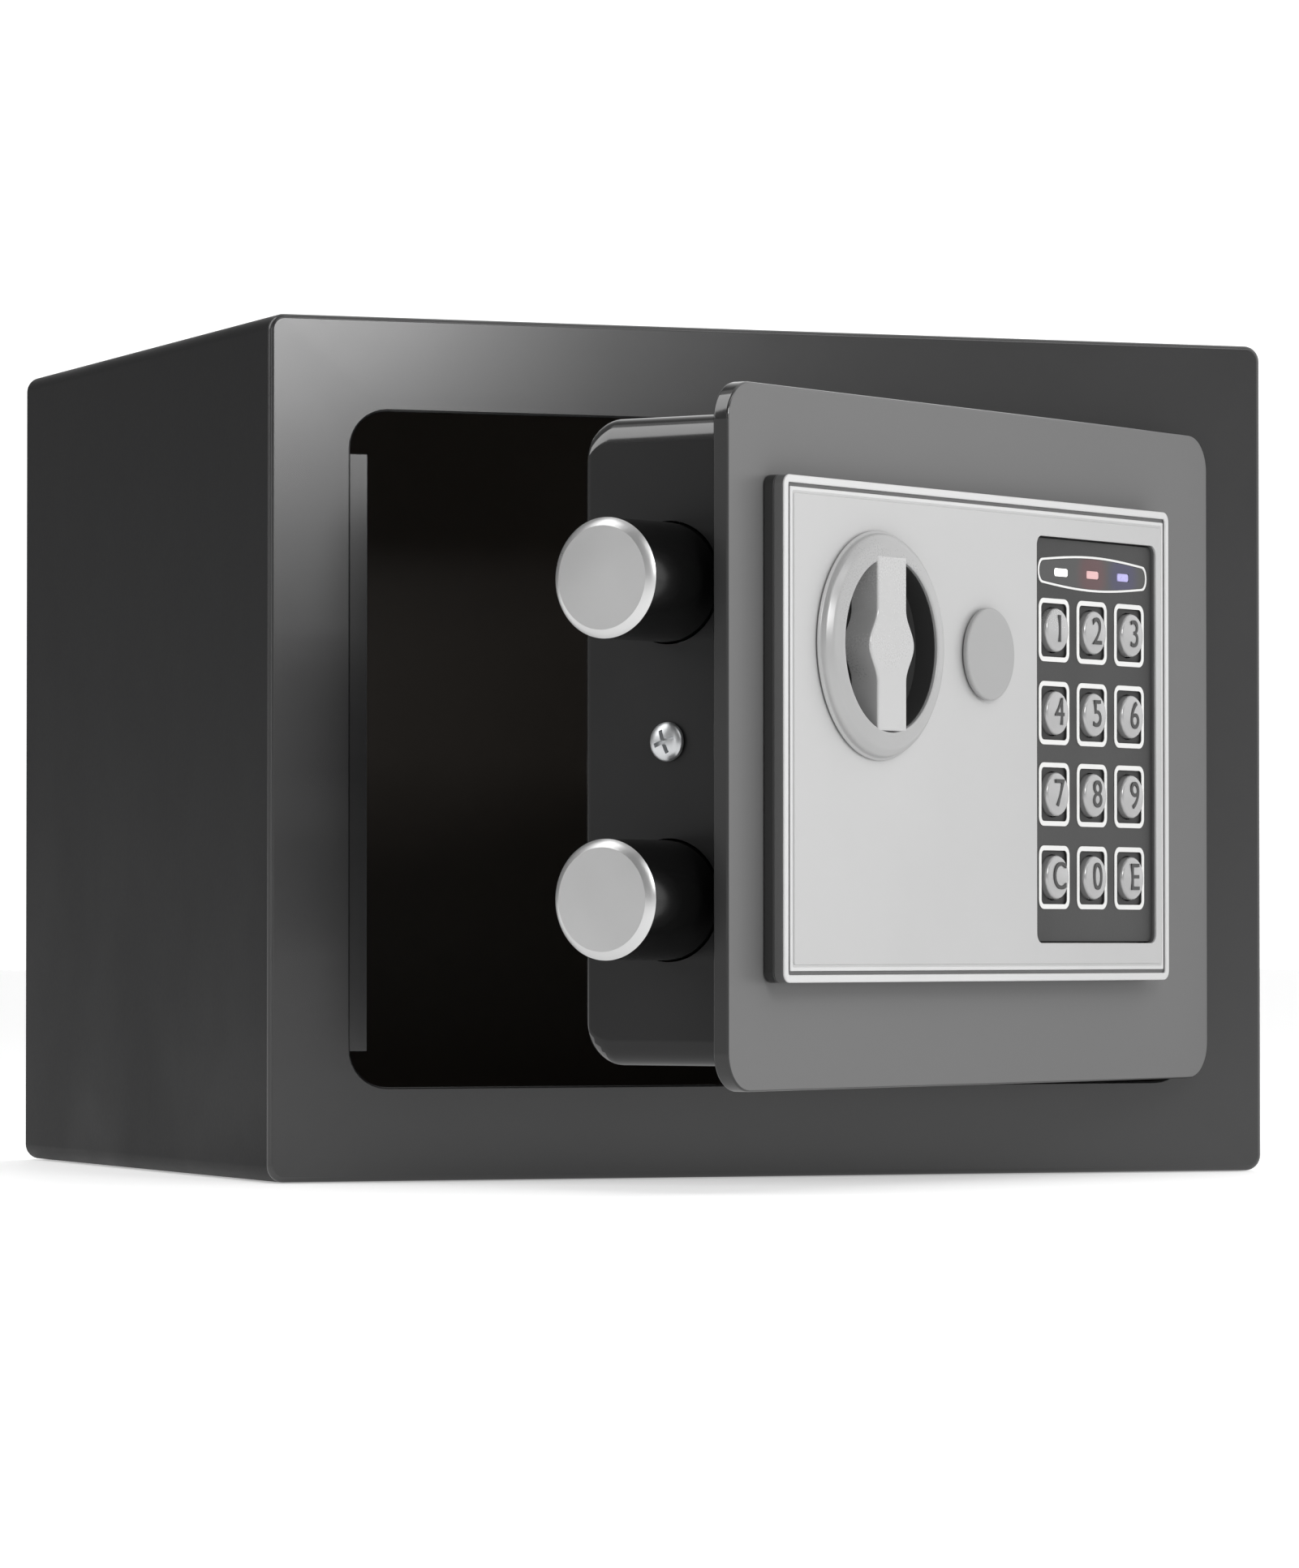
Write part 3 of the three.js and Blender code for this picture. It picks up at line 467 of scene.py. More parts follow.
def cut(mesh, *cutters):
    """The mesh less each of the cutters."""
    holder = bpy.data.objects.new("cut", mesh)
    bpy.context.scene.collection.objects.link(holder)
    tools = []
    for cutter in cutters:
        tool = bpy.data.objects.new("cutter", cutter)
        bpy.context.scene.collection.objects.link(tool)
        tools.append(tool)
        modifier = holder.modifiers.new("cut", "BOOLEAN")
        modifier.operation = "DIFFERENCE"
        modifier.solver = "EXACT"
        modifier.object = tool
    bpy.context.view_layer.update()
    result = bpy.data.meshes.new_from_object(holder.evaluated_get(bpy.context.evaluated_depsgraph_get()))
    for used in [holder, *tools]:
        bpy.data.objects.remove(used)
    return tidy(result)


def block(low, high):
    """A plain box, to cut with."""
    corners = [(x, y, z) for x in (low[0], high[0]) for y in (low[1], high[1]) for z in (low[2], high[2])]
    faces = [(0, 1, 3, 2), (4, 6, 7, 5), (0, 4, 5, 1), (2, 3, 7, 6), (0, 2, 6, 4), (1, 5, 7, 3)]
    mesh = bpy.data.meshes.new("block")
    mesh.from_pydata(corners, [], faces)
    return tidy(mesh)


def add_piece(name, mesh, place, body, finish, replaces=()):
    """A visible piece that rides on a body, with each of its finishes as a material."""
    mesh.transform(place)
    mesh.name = name
    piece = bpy.data.objects.new(name, mesh)
    bpy.context.scene.collection.objects.link(piece)
    finishes = finish if isinstance(finish, (list, tuple)) else [finish]
    mesh.materials.clear()
    for each in finishes:
        mesh.materials.append(FINISHES[each])
    weighted = piece.modifiers.new("weighted_normals", "WEIGHTED_NORMAL")
    weighted.keep_sharp = True
    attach(piece, body)
    if replaces:
        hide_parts(*replaces)
    return piece


# ------------------------------------------------------------------ casing

SHEET = 1.5
CASE_CORNER = 3.3
CASE_EDGE = 1.1
REAR_EDGE = 0.6
DOORWAY_CORNER = 7.8
DOORWAY_EDGE = 0.5
LEAST_CORNER = 0.3
ANCHOR_X = 60
ANCHOR_RADIUS = 5
ANCHOR_STEPS = 40
LEAST_MARGIN = 5
STRIKE_STEP = -100
STRIKE_EDGE = 0.3


def grown(box, by):
    """A rounded box (left, right, bottom, top, corner) moved outward on all sides."""
    left, right, bottom, top, corner = box
    return (left - by, right + by, bottom - by, top + by, max(corner + by, LEAST_CORNER))


def quarter_roll(box, radius, inward, steps=4):
    """Loops round a rolled edge, from its front to its side: inward is -1 round a hole."""
    loops = []
    for i in range(steps + 1):
        angle = math.pi / 2 * i / steps
        shrink = radius * (1 - math.sin(angle))
        loops.append((rounded(*grown(box, -shrink * inward)), radius * (1 - math.cos(angle))))
    return loops


def doorway_box():
    """The doorway's edges: the frame's corners that lie more than LEAST_MARGIN inside its outline."""
    back = CASE.inverted()
    points = [back @ vertex.co for vertex in frame["nodes"]["front_frame"].data.vertices]
    low, high = extents("front_frame", CASE)
    margin = LEAST_MARGIN
    inner = [p for p in points
             if low.x + margin < p.x < high.x - margin and low.z + margin < p.z < high.z - margin]
    return (min(p.x for p in inner), max(p.x for p in inner), min(p.z for p in inner),
            max(p.z for p in inner), DOORWAY_CORNER)


def add_case_shell():
    """The front frame, top, sides and base in one skin, painted by where each face lies: the front has a slightly
    lighter, glossier copy of the casing's paint, as painted light.
    """
    low, high = extents("front_frame", CASE)
    deep = extents("body_wrap", CASE)[1].y
    doorway = doorway_box()
    outside = (low.x, high.x, low.z, high.z, CASE_CORNER)
    inside = rounded(*grown(outside, -SHEET))
    loops = [(rounded(*doorway), SHEET)]
    loops += reversed(quarter_roll(doorway, DOORWAY_EDGE, -1))
    loops += quarter_roll(outside, CASE_EDGE, 1)
    loops += [(outline, deep - depth) for outline, depth in reversed(quarter_roll(outside, REAR_EDGE, 1))]
    loops += [(inside, deep), (inside, SHEET)]
    anchors = [rod(ANCHOR_RADIUS, -1, SHEET + 1, (x, deep / 2, low.z), "z", ANCHOR_STEPS)
               for x in (-ANCHOR_X, ANCHOR_X)]
    mesh = cut(loft(loops), *anchors)
    add_piece("case_shell", mesh, CASE, "casing", ["case_paint", "frame_paint", "interior"],
              replaces=["front_frame", "body_wrap"])
    millimetres = Matrix.Scale(1 / MM, 4) @ Matrix.Translation(-CASE.translation)
    for face in mesh.polygons:
        centre = millimetres @ face.center
        within = abs(centre.x) < high.x - 1 and low.z + 1 < centre.z < high.z - 1
        if centre.y < CASE_EDGE:
            face.material_index = 1
        elif within and centre.y < deep - 2:
            face.material_index = 2


def add_back_panel():
    """The back is black outside, and has the interior's finish inside."""
    low, high = extents("back_panel", CASE)
    edge = rounded(low.x, high.x, low.z, high.z, CASE_CORNER - SHEET)
    height = (low.z + high.z) / 2
    holes = [circle(x, height, ANCHOR_RADIUS, ANCHOR_STEPS) for x in (-ANCHOR_X, ANCHOR_X)]
    plate = add_piece("back_plate", slab([edge, *holes], low.y, high.y, 0.3), CASE, "casing",
                      ["case_paint", "interior"], replaces=["back_panel"])
    for face in plate.data.polygons:
        if face.normal.y < -0.5:
            face.material_index = 1


def add_strike_strip():
    """A folded strip: flat behind the frame, stepped back, and then parallel to the frame again."""
    low, high = extents("strike_strip", CASE)
    step = STRIKE_STEP
    edge = [(low.x, low.y), (step, low.y), (step, high.y - SHEET), (high.x, high.y - SHEET),
            (high.x, high.y), (step - SHEET, high.y), (step - SHEET, low.y + SHEET),
            (low.x, low.y + SHEET)]
    # The strip has the front's lighter, glossier copy of the casing paint: painted light.
    add_piece("strike", slab([edge], low.z, high.z, STRIKE_EDGE, "plan"), CASE, "casing", "frame_paint",
              replaces=["strike_strip"])


# ------------------------------------------------------------------ door shell

DOOR_CORNER = 7.5
DOOR_EDGE = 0.5
SHAFT_HOLE = 4.4
LOCK_HOLE = 7.9
PAN_CORNER = 6
PAN_SHEET = 1.2
PAN_BEND = 5
PAN_FOLD = 1
PAN_STEPS = 12
PAN_INSIDE_ROLL = 3
BOLT_CLEARANCE = 0.35
TRAY_WALL = 2
RESET_HOLE = 4
SCREW_SHANK = (1.6, 7)
SCREW_RIM = (0.2, 0.5)
SCREW_HEIGHT = 2
SCREW_SLOT = {"half": 0.42, "reach": 2.3, "floor": 0.7}
SCREW_TURN = math.radians(20)


def door_inward():
    """The direction from the door's face to its back, at rest."""
    return (DOOR.to_3x3() @ Vector((0, 1, 0))).normalized()


def gloss_rolls(piece):
    """Gives a door piece's upward faces, and the fold round its back, its second, glossier finish."""
    inward = door_inward()
    for face in piece.data.polygons:
        if face.normal.z > 0.05 or 0.2 < face.normal.dot(inward) < 0.95:
            face.material_index = 1


def add_door_plate():
    """The plate's narrow edges have a darker grey than its face: painted shade."""
    low, high = extents("door_plate", DOOR)
    edge = rounded(low.x, high.x, low.z, high.z, DOOR_CORNER, 12)
    knob, lock = middle("knob"), middle("lock_body")
    holes = [circle(knob.x, knob.z, SHAFT_HOLE), circle(lock.x, lock.z, LOCK_HOLE)]
    mesh = slab([edge, *holes], low.y, high.y, DOOR_EDGE, steps=4)
    plate = add_piece("door_slab", mesh, DOOR, "door", ["shaded_edge_paint", "gloss_black", "door_paint"],
                      replaces=["door_plate"])
    gloss_rolls(plate)
    front = -door_inward()
    for face in plate.data.polygons:
        if face.normal.dot(front) > 0.9:
            face.material_index = 2


def pan_skin(low, high):
    """The pan before its holes, with a wide roll at its top and bottom and a sharp fold at its sides."""
    outer = [(rounded(low.x, high.x, low.z, high.z, PAN_BEND), low.y)]
    for i in range(PAN_STEPS + 1):
        angle = math.pi / 2 * i / PAN_STEPS
        rise = PAN_CORNER * (1 - math.sin(angle))
        drop = PAN_CORNER * (1 - math.cos(angle))
        side = max(0, PAN_FOLD - rise)
        outline = rounded(low.x + side, high.x - side, low.z + drop, high.z - drop, PAN_BEND)
        outer.append((outline, high.y - rise))
    inner_box = (low.x + PAN_SHEET, high.x - PAN_SHEET, low.z + PAN_SHEET, high.z - PAN_SHEET,
                 PAN_BEND - PAN_SHEET)
    inner = [(rounded(*grown(inner_box, -PAN_INSIDE_ROLL)), high.y - PAN_SHEET),
             (rounded(*inner_box), high.y - PAN_CORNER), (rounded(*inner_box), low.y)]
    return loft(inner + outer, closed=False, capped=True)


def add_pan():
    """The pressed tray on the back of the door, open for the bolts, the battery tray and reset."""
    low, high = extents("inner_pan", DOOR)
    cutters = []
    for bolt in ("bolt_barrel_upper", "bolt_barrel_lower"):
        centre, radius = turned(bolt)[2:]
        cutters.append(rod(radius + BOLT_CLEARANCE, -5, 5, (low.x, centre.y, centre.z), "x"))
    tray_low, tray_high = extents("battery_tray", DOOR)
    cutters.append(block((tray_low.x + TRAY_WALL, high.y - 3, tray_low.z + TRAY_WALL),
                         (tray_high.x - TRAY_WALL, high.y + 3, tray_high.z - TRAY_WALL)))
    reset = middle("reset_button")
    cutters.append(rod(RESET_HOLE, -3, 3, (reset.x, high.y, reset.z), "y"))
    pan = add_piece("pan_shell", cut(pan_skin(low, high), *cutters), DOOR, "door",
                    ["pan_paint", "gloss_black"], replaces=["inner_pan"])
    gloss_rolls(pan)


def add_pan_screw(node, side):
    """A domed cross-slot screw in the pan's side: side is -1 on the bolts' side and 1 on the hinges'."""
    centre, radius = turned(node)[2:]
    surface = extents("inner_pan", DOOR)[0 if side < 0 else 1].x
    shank, length = SCREW_SHANK
    under, rim = SCREW_RIM
    swell = SCREW_HEIGHT - rim
    angles = [math.pi / 2 * i / 8 for i in range(1, 8)]
    dome = [(0, -length), (shank, -length), (shank, under), (radius - under, under), (radius, rim)]
    dome += [(radius * math.cos(a), rim + swell * math.sin(a)) for a in angles]
    dome += [(0, SCREW_HEIGHT)]
    half, reach, floor = SCREW_SLOT["half"], SCREW_SLOT["reach"], SCREW_SLOT["floor"]
    cross = [block((floor, -reach, -half), (SCREW_HEIGHT + 1, reach, half)),
             block((floor, -half, -reach), (SCREW_HEIGHT + 1, half, reach))]
    screw = cut(lathe(dome, axis="x", steps=48), *cross)
    tilt = Matrix.Rotation(SCREW_TURN, 4, "X")
    turn = Matrix.Rotation(math.pi if side < 0 else 0, 4, "Z")
    screw.transform(Matrix.Translation((surface, centre.y, centre.z)) @ turn @ tilt)
    add_piece(node + "_head", screw, DOOR, "door", "zinc", replaces=[node])


# ------------------------------------------------------------------ control panel

PANEL_CORNER = 2.0
PANEL_SKIN = 0.55
RIM = 1.5
GROOVE = 0.7
LIP = 0.8
LIP_SINK = 0.1
STEP = 0.4
STEP_DEPTH = 0.2
STEP_OVERLAP = 0.1
GROOVE_DEPTH = 0.5
CARRIER_INSET = 0.05
PAD_CORNER = 1.7
PAD_CLEARANCE = 0.3
KNOB_CLEARANCE = 0.45
SEAT_GAP = 0.3
BASE_WINDOW = (15.7, 59.6, 53, 127, 1)


def panel_seat():
    """The depth at which the parts that stand on the panel start."""
    return extents("panel_face", DOOR)[0].y - SEAT_GAP


def add_panel():
    """A silver field, a step, a lip, a groove and a rim, on a dark carrier and a black base."""
    low, high = extents("panel_face", DOOR)
    base_low, base_high = extents("panel_base", DOOR)
    edge = (low.x, high.x, low.z, high.z, PANEL_CORNER)
    knob, lock = middle("knob"), middle("lock_body")
    pad_low, pad_high = extents("keypad_plate", DOOR)
    pad = (pad_low.x, pad_high.x, pad_low.z, pad_high.z, PAD_CORNER)
    window = rounded(*grown(pad, PAD_CLEARANCE))
    holes = [circle(knob.x, knob.z, KNOB_BARREL + KNOB_CLEARANCE, 96), circle(lock.x, lock.z, LOCK_HOLE)]
    skin = low.y + PANEL_SKIN
    rim = slab([rounded(*edge), rounded(*grown(edge, -RIM))], low.y, skin, 0.3)
    lip = slab([rounded(*grown(edge, -RIM - GROOVE)), rounded(*grown(edge, -RIM - GROOVE - LIP))],
               low.y + LIP_SINK, skin, 0.2)
    field = slab([rounded(*grown(edge, -RIM - GROOVE - LIP - STEP)), *holes, window], low.y, skin, 0.15)
    step_edges = [rounded(*grown(edge, -RIM - GROOVE - LIP + STEP_OVERLAP)),
                  rounded(*grown(edge, -RIM - GROOVE - LIP - STEP - STEP_OVERLAP))]
    step = slab(step_edges, low.y + STEP_DEPTH, skin, 0.05)
    add_piece("panel_front", joined(step, field), DOOR, "door", "panel_silver", replaces=["panel_face"])
    add_piece("panel_rim", joined(rim, lip), DOOR, "door", "rim_silver")
    inset = CARRIER_INSET
    carrier_edge = (low.x + inset, high.x - inset, low.z + inset, high.z - inset, PANEL_CORNER)
    carrier = slab([rounded(*carrier_edge), *holes, window], low.y + GROOVE_DEPTH, base_low.y - 0.02, 0.15)
    add_piece("panel_carrier", carrier, DOOR, "door", "panel_edge")
    base = slab([rounded(*edge), *holes, rounded(*BASE_WINDOW)], base_low.y, base_high.y, 0.2)
    add_piece("panel_back", base, DOOR, "door", "panel_base_black",
              replaces=["panel_base"])


# ------------------------------------------------------------------ keypad

KEY_GRID = [["1", "2", "3"], ["4", "5", "6"], ["7", "8", "9"], ["clear", "0", "enter"]]
POCKET = (5.05, 5.4)
POCKET_CORNER = 1.0
FRAME_LINE = 0.97
FRAME_CORNER = 1.9
FILM = 0.35
FILM_GAP = 0.01
PRINT = 0.15
PANE = 0.06
KEY_HOLE = 4.6
KEY_CROWN = 0.35
KEY_SHOULDER = 0.7
LIGHT_HOLE = (2.4, 0.85)
LENS_HALF_WIDTHS = {"led_white": 2.6, "led_red": 2.35, "led_blue": 2.2}
LENS_HALF_HEIGHT = 0.8
LENS_PROUD = 0.12
LIGHTS_RISE = 0.15
# The outlines round the lights: left, right, half height at the ends and in the middle.
LIGHT_FRAME_OUTSIDE = (15.1, 58.8, 2.5, 3.6)
LIGHT_FRAME_INSIDE = (15.6, 58.3, 2.1, 3.15)
LIGHT_PANE = (15.7, 58.2, 2.0, 3.05)
LEGENDS = {"clear": "C", "enter": "E"}
LEGEND_SIZE = 7.9
LEGEND_SINK = 0.06


def key_centres():
    return {key: middle("key_" + key) for row in KEY_GRID for key in row}


def around(centre, half_width, half_height, corner):
    return rounded(centre.x - half_width, centre.x + half_width, centre.z - half_height,
                   centre.z + half_height, corner, 6)


def barrel(window, height, steps=16):
    """A window outline that bulges along its top and bottom, with rounded ends."""
    left, right, end_half, middle_half = window
    end = 1.7
    span = [i / steps for i in range(steps + 1)]
    lower = [(left + end + (right - left - 2 * end) * t,
              height - end_half - (middle_half - end_half) * math.sin(math.pi * t)) for t in span]
    upper = [(x, 2 * height - z) for x, z in reversed(lower)]
    turns = [math.pi * i / 10 for i in range(1, 10)]
    right_end = [(right - end + end * math.sin(a), height - end_half * math.cos(a)) for a in turns]
    left_end = [(left + end - end * math.sin(a), height + end_half * math.cos(a)) for a in turns]
    return lower + right_end + upper + left_end


def add_keypad_plates(low, high, centres, lights):
    """A film with a pocket for each key, on a backing with a round hole for each."""
    edge = rounded(low.x, high.x, low.z, high.z, PAD_CORNER)
    surface = low.y
    pockets = [around(c, *POCKET, POCKET_CORNER) for c in centres.values()]
    windows = [around(c, *LIGHT_HOLE, 0.3) for c in lights.values()]
    sheet = slab([edge, *pockets, *windows], surface, surface + FILM, 0.08)
    add_piece("keypad_film", sheet, DOOR, "door", "keypad_grey")
    rings = [circle(c.x, c.z, KEY_HOLE) for c in centres.values()]
    backing = slab([edge, *rings, *windows], surface + FILM + FILM_GAP, high.y, 0.08)
    add_piece("keypad_backing", backing, DOOR, "door", "keypad_dark",
              replaces=["keypad_plate"])


def add_keypad_print(surface, centres, height):
    """The white line round each key and round the lights."""
    frames = []
    for centre in centres.values():
        inner = around(centre, *POCKET, POCKET_CORNER)
        outer = around(centre, POCKET[0] + FRAME_LINE, POCKET[1] + FRAME_LINE, FRAME_CORNER)
        frames.append(slab([outer, inner], surface - PRINT, surface, 0.05))
    outline, inside = barrel(LIGHT_FRAME_OUTSIDE, height), barrel(LIGHT_FRAME_INSIDE, height)
    frames.append(slab([outline, inside], surface - PRINT, surface, 0.05))
    add_piece("keypad_print", joined(*frames), DOOR, "door", "print_white")


def add_lights(surface, lights, height):
    """A pane with an opening for each indicator light, and the three lenses."""
    half = LIGHT_HOLE[0]
    openings = [block((c.x - half, surface - 1, c.z - LENS_HALF_HEIGHT),
                      (c.x + half, surface + 1, c.z + LENS_HALF_HEIGHT)) for c in lights.values()]
    pane = cut(slab([barrel(LIGHT_PANE, height)], surface - PANE, surface, 0.02), *openings)
    add_piece("light_window", pane, DOOR, "door", "light_window")
    for led, centre in lights.items():
        outline = around(centre, LENS_HALF_WIDTHS[led], LENS_HALF_HEIGHT, 0.5)
        lamp = slab([outline], surface - LENS_PROUD, surface + 2, LENS_PROUD)
        add_piece(led + "_lens", lamp, DOOR, "door", led, replaces=[led])


def add_keypad():
    low, high = extents("keypad_plate", DOOR)
    centres = key_centres()
    lights = {led: middle(led) for led in LENS_HALF_WIDTHS}
    height = lights["led_white"].z + LIGHTS_RISE
    add_keypad_plates(low, high, centres, lights)
    add_keypad_print(low.y, centres, height)
    add_lights(low.y, lights, height)


def legend_mesh(text, height):
    """A character as a thin raised solid, in Blender's own plain font."""
    data = bpy.data.curves.new("legend", "FONT")
    data.body = text
    data.size = height
    data.align_x = "CENTER"
    data.align_y = "CENTER"
    data.extrude = 0.12
    data.offset = 0.01
    data.resolution_u = 6
    holder = bpy.data.objects.new("legend", data)
    bpy.context.scene.collection.objects.link(holder)
    bpy.context.view_layer.update()
    mesh = bpy.data.meshes.new_from_object(holder.evaluated_get(bpy.context.evaluated_depsgraph_get()))
    bpy.data.objects.remove(holder)
    return tidy(mesh)


def add_keys():
    """Round caps with a rolled shoulder and a low crown, each with its character."""
    for key, centre in key_centres().items():
        node = "key_" + key
        low, high, _, radius = turned(node)
        top, foot = low.y, high.y
        rise, roll = top + KEY_CROWN + KEY_SHOULDER, KEY_SHOULDER
        profile = [(0, foot), (radius, foot), (radius, rise)]
        profile += [(radius - roll * (1 - math.cos(a)), rise - roll * math.sin(a))
                    for a in [math.pi / 2 * i / 5 for i in range(1, 5)]]
        flat = radius - roll
        profile += [(flat * (1 - t), top + KEY_CROWN * (1 - t) ** 2) for t in [i / 6 for i in range(7)]]
        add_piece(node + "_cap", lathe(profile, (centre.x, 0, centre.z), steps=48), DOOR, node + "_body",
                  "key_silver", replaces=[node])
        legend = legend_mesh(LEGENDS.get(key, key), LEGEND_SIZE)
        legend.transform(Matrix.Translation((centre.x, top + LEGEND_SINK, centre.z)) @ PLANES["front"])
        add_piece(node + "_legend", legend, DOOR, node + "_body", "legend_ink")


# ------------------------------------------------------------------ knob, cover and bolts

KNOB_WELL = 16.8
KNOB_BARREL = 18.1
KNOB_FLOOR = 1.5
CREST_SINK = 0.12
RING_LIP = 0.7
# How far in from the ring's outside, and how far behind its crest.
RING_SLOPE_START = (2.2, 0.5)
RING_SLOPE_END = (0.7, 1.7)
RING_FLANGE = (0.5, 0.3)
CUP_GAP = 0.02
CUP_WALL = 0.2
CUP_ROOT = (1.7, 1.5)
GRIP_WAIST = 5.2
GRIP_BULGE = 8.1
GRIP_BULGE_HEIGHT = 7.0
COVER_SPIGOT = 7.4
BOLT_BEVEL = (1.6, 1.3)
BOLT_BEVEL_SWELL = 0.15


def grip_outline(foot, top):
    """A vertical bar that swells smoothly in the middle."""
    heights = [GRIP_BULGE_HEIGHT * (-1 + i / 10) for i in range(21)]
    side = [(GRIP_WAIST, -foot)]
    for z in heights:
        swell = (GRIP_BULGE - GRIP_WAIST) * (1 + math.cos(math.pi * z / GRIP_BULGE_HEIGHT)) / 2
        side.append((GRIP_WAIST + swell, z))
    side.append((GRIP_WAIST, top))
    return side + [(-x, z) for x, z in reversed(side)]


def knob_ring(radius, crest, back):
    """The ring's section: a flat crest, a slope down to a narrow flange, and the barrel behind it."""
    seat = panel_seat()
    inset, flange = RING_FLANGE
    ring = soften([(KNOB_WELL, back - 2), (KNOB_WELL, crest), (KNOB_WELL + RING_LIP, crest),
                   (radius - RING_SLOPE_START[0], crest + RING_SLOPE_START[1]),
                   (radius - RING_SLOPE_END[0], crest + RING_SLOPE_END[1]),
                   (radius - inset, seat - 0.5), (radius, seat - flange), (radius, seat),
                   (KNOB_BARREL, seat), (KNOB_BARREL, back)], 0.5)
    return ring + [(KNOB_WELL, back), (KNOB_WELL, back - 2)]


def knob_shade_cup(crest, back):
    """A dark lining of the well on both sides of the grip: painted shade in the knob's silver pockets."""
    wall = KNOB_WELL - CUP_GAP
    floor = back - KNOB_FLOOR
    return [(0, back - 0.2), (wall, back - 0.2), (wall, crest + RING_LIP),
            (wall - CUP_WALL, crest + RING_LIP), (wall - 0.25, floor - CUP_ROOT[1]),
            (wall - CUP_ROOT[0], floor), (0, floor)]


def add_knob():
    low, high, centre, radius = turned("knob")
    face, back = low.y, high.y
    crest = face + CREST_SINK
    place = (centre.x, 0, centre.z)
    # The ring gets the darker copy of the knob's silver: painted shade on its slope.
    add_piece("knob_ring", lathe(knob_ring(radius, crest, back), place, steps=128), DOOR, "knob",
              "ring_silver", replaces=["knob"])
    # A dark cup lining the well: painted shade in the pockets beside the grip.
    add_piece("knob_shade_cup", lathe(knob_shade_cup(crest, back), place, steps=128), DOOR, "knob", "knob_well")
    reach = math.sqrt((KNOB_WELL + 0.3) ** 2 - GRIP_WAIST ** 2)
    bar = slab([grip_outline(reach + 0.3, reach + 0.9)], face, back - KNOB_FLOOR, 0.5, steps=4)
    bar.transform(Matrix.Translation(place))
    add_piece("knob_grip", bar, DOOR, "knob", "knob_silver")


def add_key_cover():
    low, high, centre, radius = turned("key_cover")
    seat = panel_seat()
    section = [(0, high.y), (COVER_SPIGOT, high.y), (COVER_SPIGOT, seat), (radius, seat),
               (radius, low.y), (0, low.y)]
    disc = lathe(soften(section, 0.5), (centre.x, 0, centre.z), steps=96)
    add_piece("cover_disc", disc, DOOR, "cover", "cover_grey", replaces=["key_cover"])


def add_bolts():
    """Black sleeves with bright ends, whose bevels swell slightly."""
    inset, bevel = BOLT_BEVEL
    for place in ("upper", "lower"):
        tip = extents("bolt_tip_" + place, DOOR)[0].x
        low, high, centre, radius = turned("bolt_barrel_" + place)
        centre = (0, centre.y, centre.z)
        collar = tip + bevel
        sleeve = [(0, collar + 0.05), (radius - 0.1, collar + 0.05), (radius, collar + 0.2),
                  (radius, high.x), (0, high.x)]
        add_piece("bolt_sleeve_" + place, lathe(sleeve, centre, "x", 96), DOOR, "bolts",
                  "bolt_black", replaces=["bolt_barrel_" + place])
        face = [(0, tip)]
        for t in [i / 8 for i in range(9)]:
            swell = BOLT_BEVEL_SWELL * math.sin(math.pi * t)
            face.append((radius - inset * (1 - t) + swell, tip + bevel * t))
        face.append((0, collar))
        add_piece("bolt_cap_" + place, lathe(face, centre, "x", 96), DOOR, "bolts", "bolt_steel",
                  replaces=["bolt_tip_" + place])


# ------------------------------------------------------------------ inside of the door

LID_CORNER = 3
RIB_COUNT = 9
RIB_PITCH = 3
RIB_HALF = 0.7
RIB_SPAN = (6, 18)
CELL_TERMINAL = (2.7, 1.2)
LOCK_BORE = 4.8
PLUG_RADIUS = 4.5
KEYWAY = (0.8, 2.8)
SOFT_EDGE = 0.15


def add_battery_lid():
    """The lid, with a row of finger ribs near its foot."""
    low, high = extents("battery_door", DOOR)
    plate = slab([rounded(low.x, high.x, low.z, high.z, LID_CORNER)], low.y, high.y, 0.5)
    ribs = []
    for i in range(RIB_COUNT):
        x = (low.x + high.x) / 2 + RIB_PITCH * (i - RIB_COUNT // 2)
        outline = rounded(x - RIB_HALF, x + RIB_HALF, low.z + RIB_SPAN[0], low.z + RIB_SPAN[1], 0.6)
        ribs.append(slab([outline], high.y - 0.2, high.y + 0.4, 0.2))
    add_piece("battery_lid_plate", joined(plate, *ribs), DOOR, "battery_lid", "black_plastic",
              replaces=["battery_door"])


def add_reset_cap():
    low, high, centre, radius = turned("reset_button")
    profile = soften([(0, low.y), (radius, low.y), (radius, high.y), (0, high.y)], 0.6)
    add_piece("reset_cap", lathe(profile, (centre.x, 0, centre.z), steps=48), DOOR, "reset", "red_plastic",
              replaces=["reset_button"])


def add_cells():
    """Four upright cells, each with its terminal on top."""
    terminal, rise = CELL_TERMINAL
    for index in range(1, 5):
        node = f"battery_{index}"
        low, high = extents(node, DOOR)
        centre = (low + high) / 2
        radius = (high.x - low.x) / 2
        can = soften([(0, low.z), (radius, low.z), (radius, high.z - rise), (terminal, high.z - rise),
                      (terminal, high.z), (0, high.z)], 0.5)
        add_piece(node + "_can", lathe(can, (centre.x, centre.y, 0), "z", 48), DOOR, "door",
                  "battery_sleeve", replaces=[node])


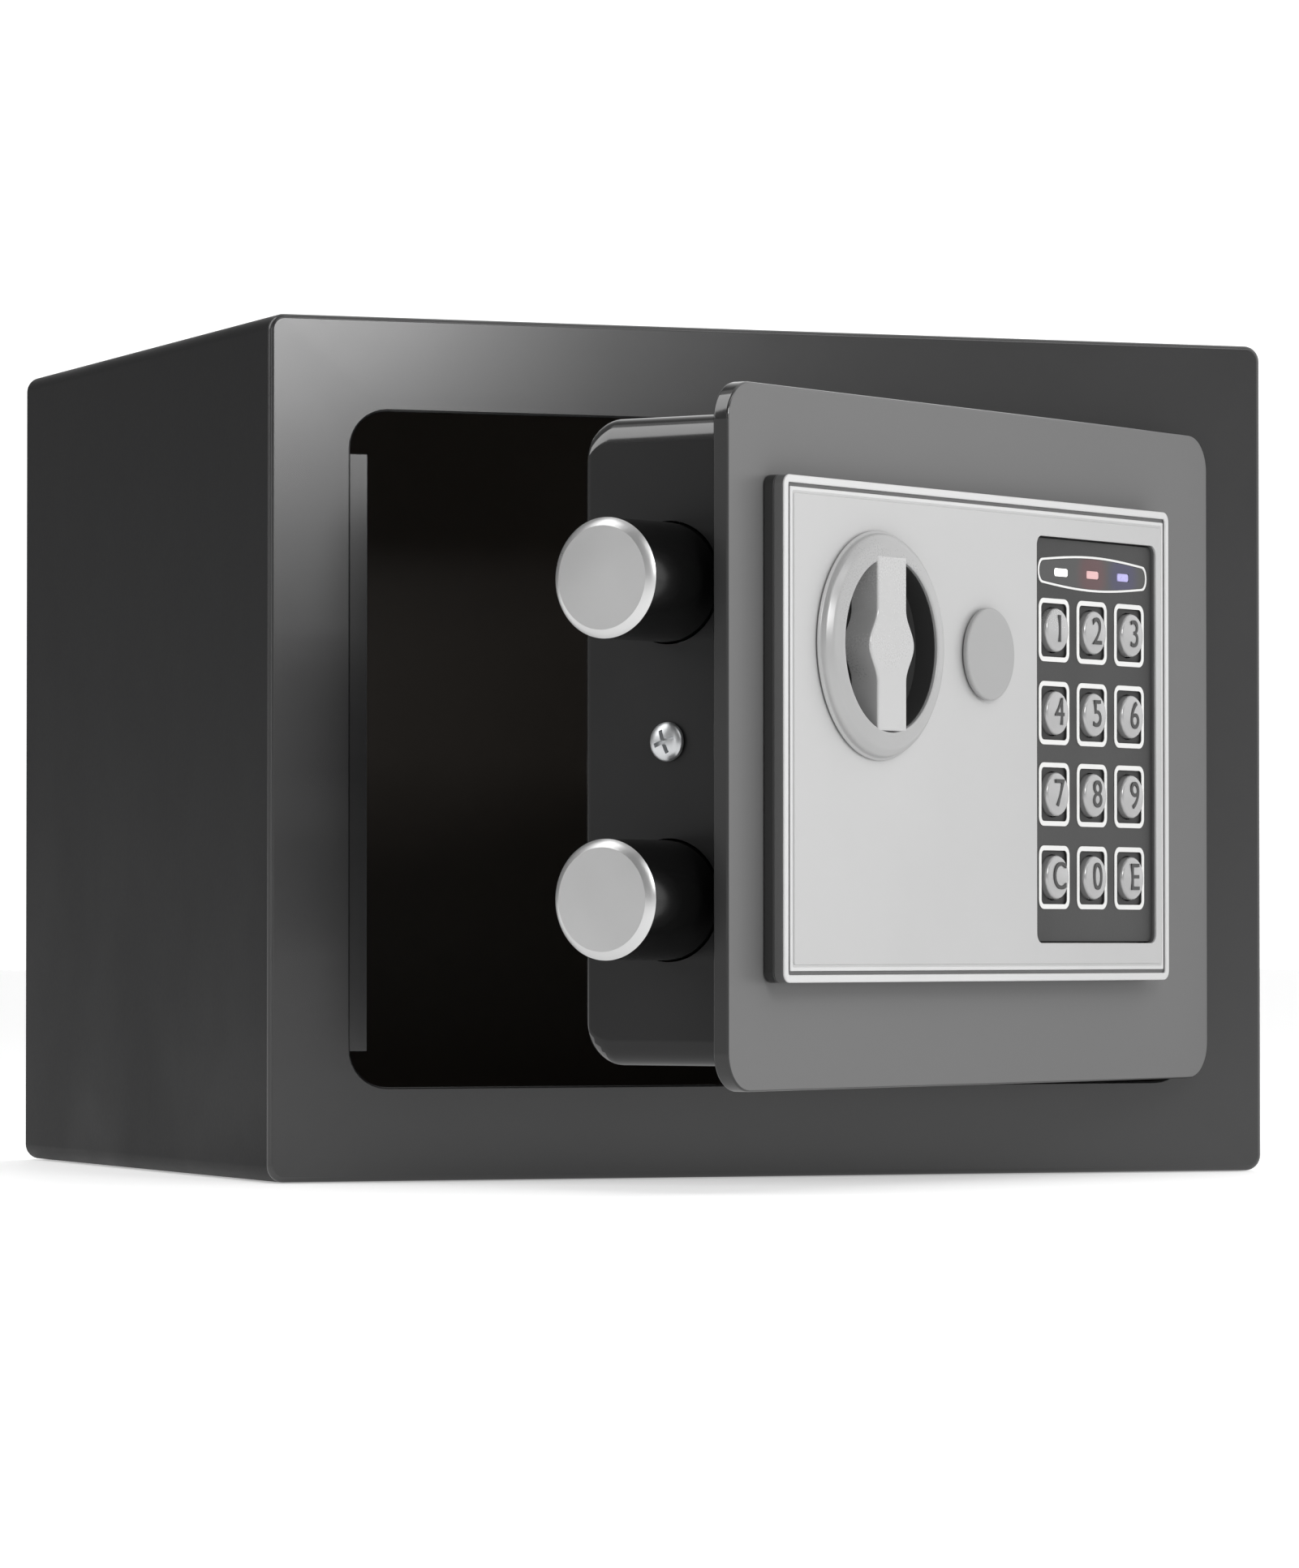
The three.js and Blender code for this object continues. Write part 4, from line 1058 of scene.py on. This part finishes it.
def add_emergency_lock():
    """The brass barrel and keyed plug that show when the cover is off."""
    low, high, centre, radius = turned("lock_body")
    place = (centre.x, 0, centre.z)
    tube = [(LOCK_BORE, high.y), (LOCK_BORE, low.y + 0.3), (LOCK_BORE + 0.3, low.y), (radius - 0.4, low.y),
            (radius, low.y + 0.4), (radius, high.y), (LOCK_BORE, high.y)]
    add_piece("lock_barrel", lathe(tube, place, steps=64), DOOR, "door", "brass", replaces=["lock_body"])
    front, back = [corner.y for corner in extents("lock_plug", DOOR)]
    profile = soften([(0, front), (PLUG_RADIUS, front), (PLUG_RADIUS, back), (0, back)], 0.3)
    half, reach = KEYWAY
    keyway = block((centre.x - half, front - 1, centre.z - reach),
                   (centre.x + half, front + 6, centre.z + reach))
    add_piece("lock_core_face", cut(lathe(profile, place, steps=64), keyway), DOOR, "lock_core", "brass",
              replaces=["lock_plug"])


def dress_cad_nodes():
    """The CAD nodes that stay get a procedural finish and slightly rounded edges."""
    slots = {part["node"]: part["material_slot"] for part in frame["record"]["subparts"]}
    for name, node in frame["nodes"].items():
        node.data.materials.clear()
        node.data.materials.append(FINISHES[slots[name]])
        if node.hide_render:
            continue
        softened = node.modifiers.new("soft_edges", "BEVEL")
        softened.width = SOFT_EDGE * MM
        softened.segments = 2
        softened.limit_method = "ANGLE"
        softened.angle_limit = math.radians(40)


# ------------------------------------------------------------------ the scene

bpy.context.scene.view_settings.view_transform = "Standard"
FINISHES = make_materials()
FINISHES["light_window"] = window_material()
add_camera()
add_world()
add_floor()
add_softbox("near_light", (0.03, -0.587, 0.27), (-0.12, -0.087, 0.2), (0.14, 0.14), 0.74)
add_softbox("left_light", (-0.8, 0.05, 0.72), (-0.07, -0.15, 0.09), (0.5, 1.1), 4.8)
add_softbox("front_light", (0.3, -1.2, 1.2), (0.0, -0.1, 0.09), (1.4, 0.4), 3.5)
add_softbox("edge_light", (-1.4, -1.3, 0.3), (-0.1, -0.1, 0.1), (0.08, 0.9), 1.4)
add_softbox("top_light", (-0.1, 0.0, 1.4), (0.0, 0.0, 0.0), (1.2, 1.2), 2)

add_case_shell()
add_back_panel()
add_strike_strip()
add_door_plate()
add_pan()
add_pan_screw("pan_screw_bolt_side", -1)
add_pan_screw("pan_screw_hinge_side", 1)
add_panel()
add_keypad()
add_keys()
add_knob()
add_key_cover()
add_bolts()
add_battery_lid()
add_reset_cap()
add_cells()
add_emergency_lock()
dress_cad_nodes()
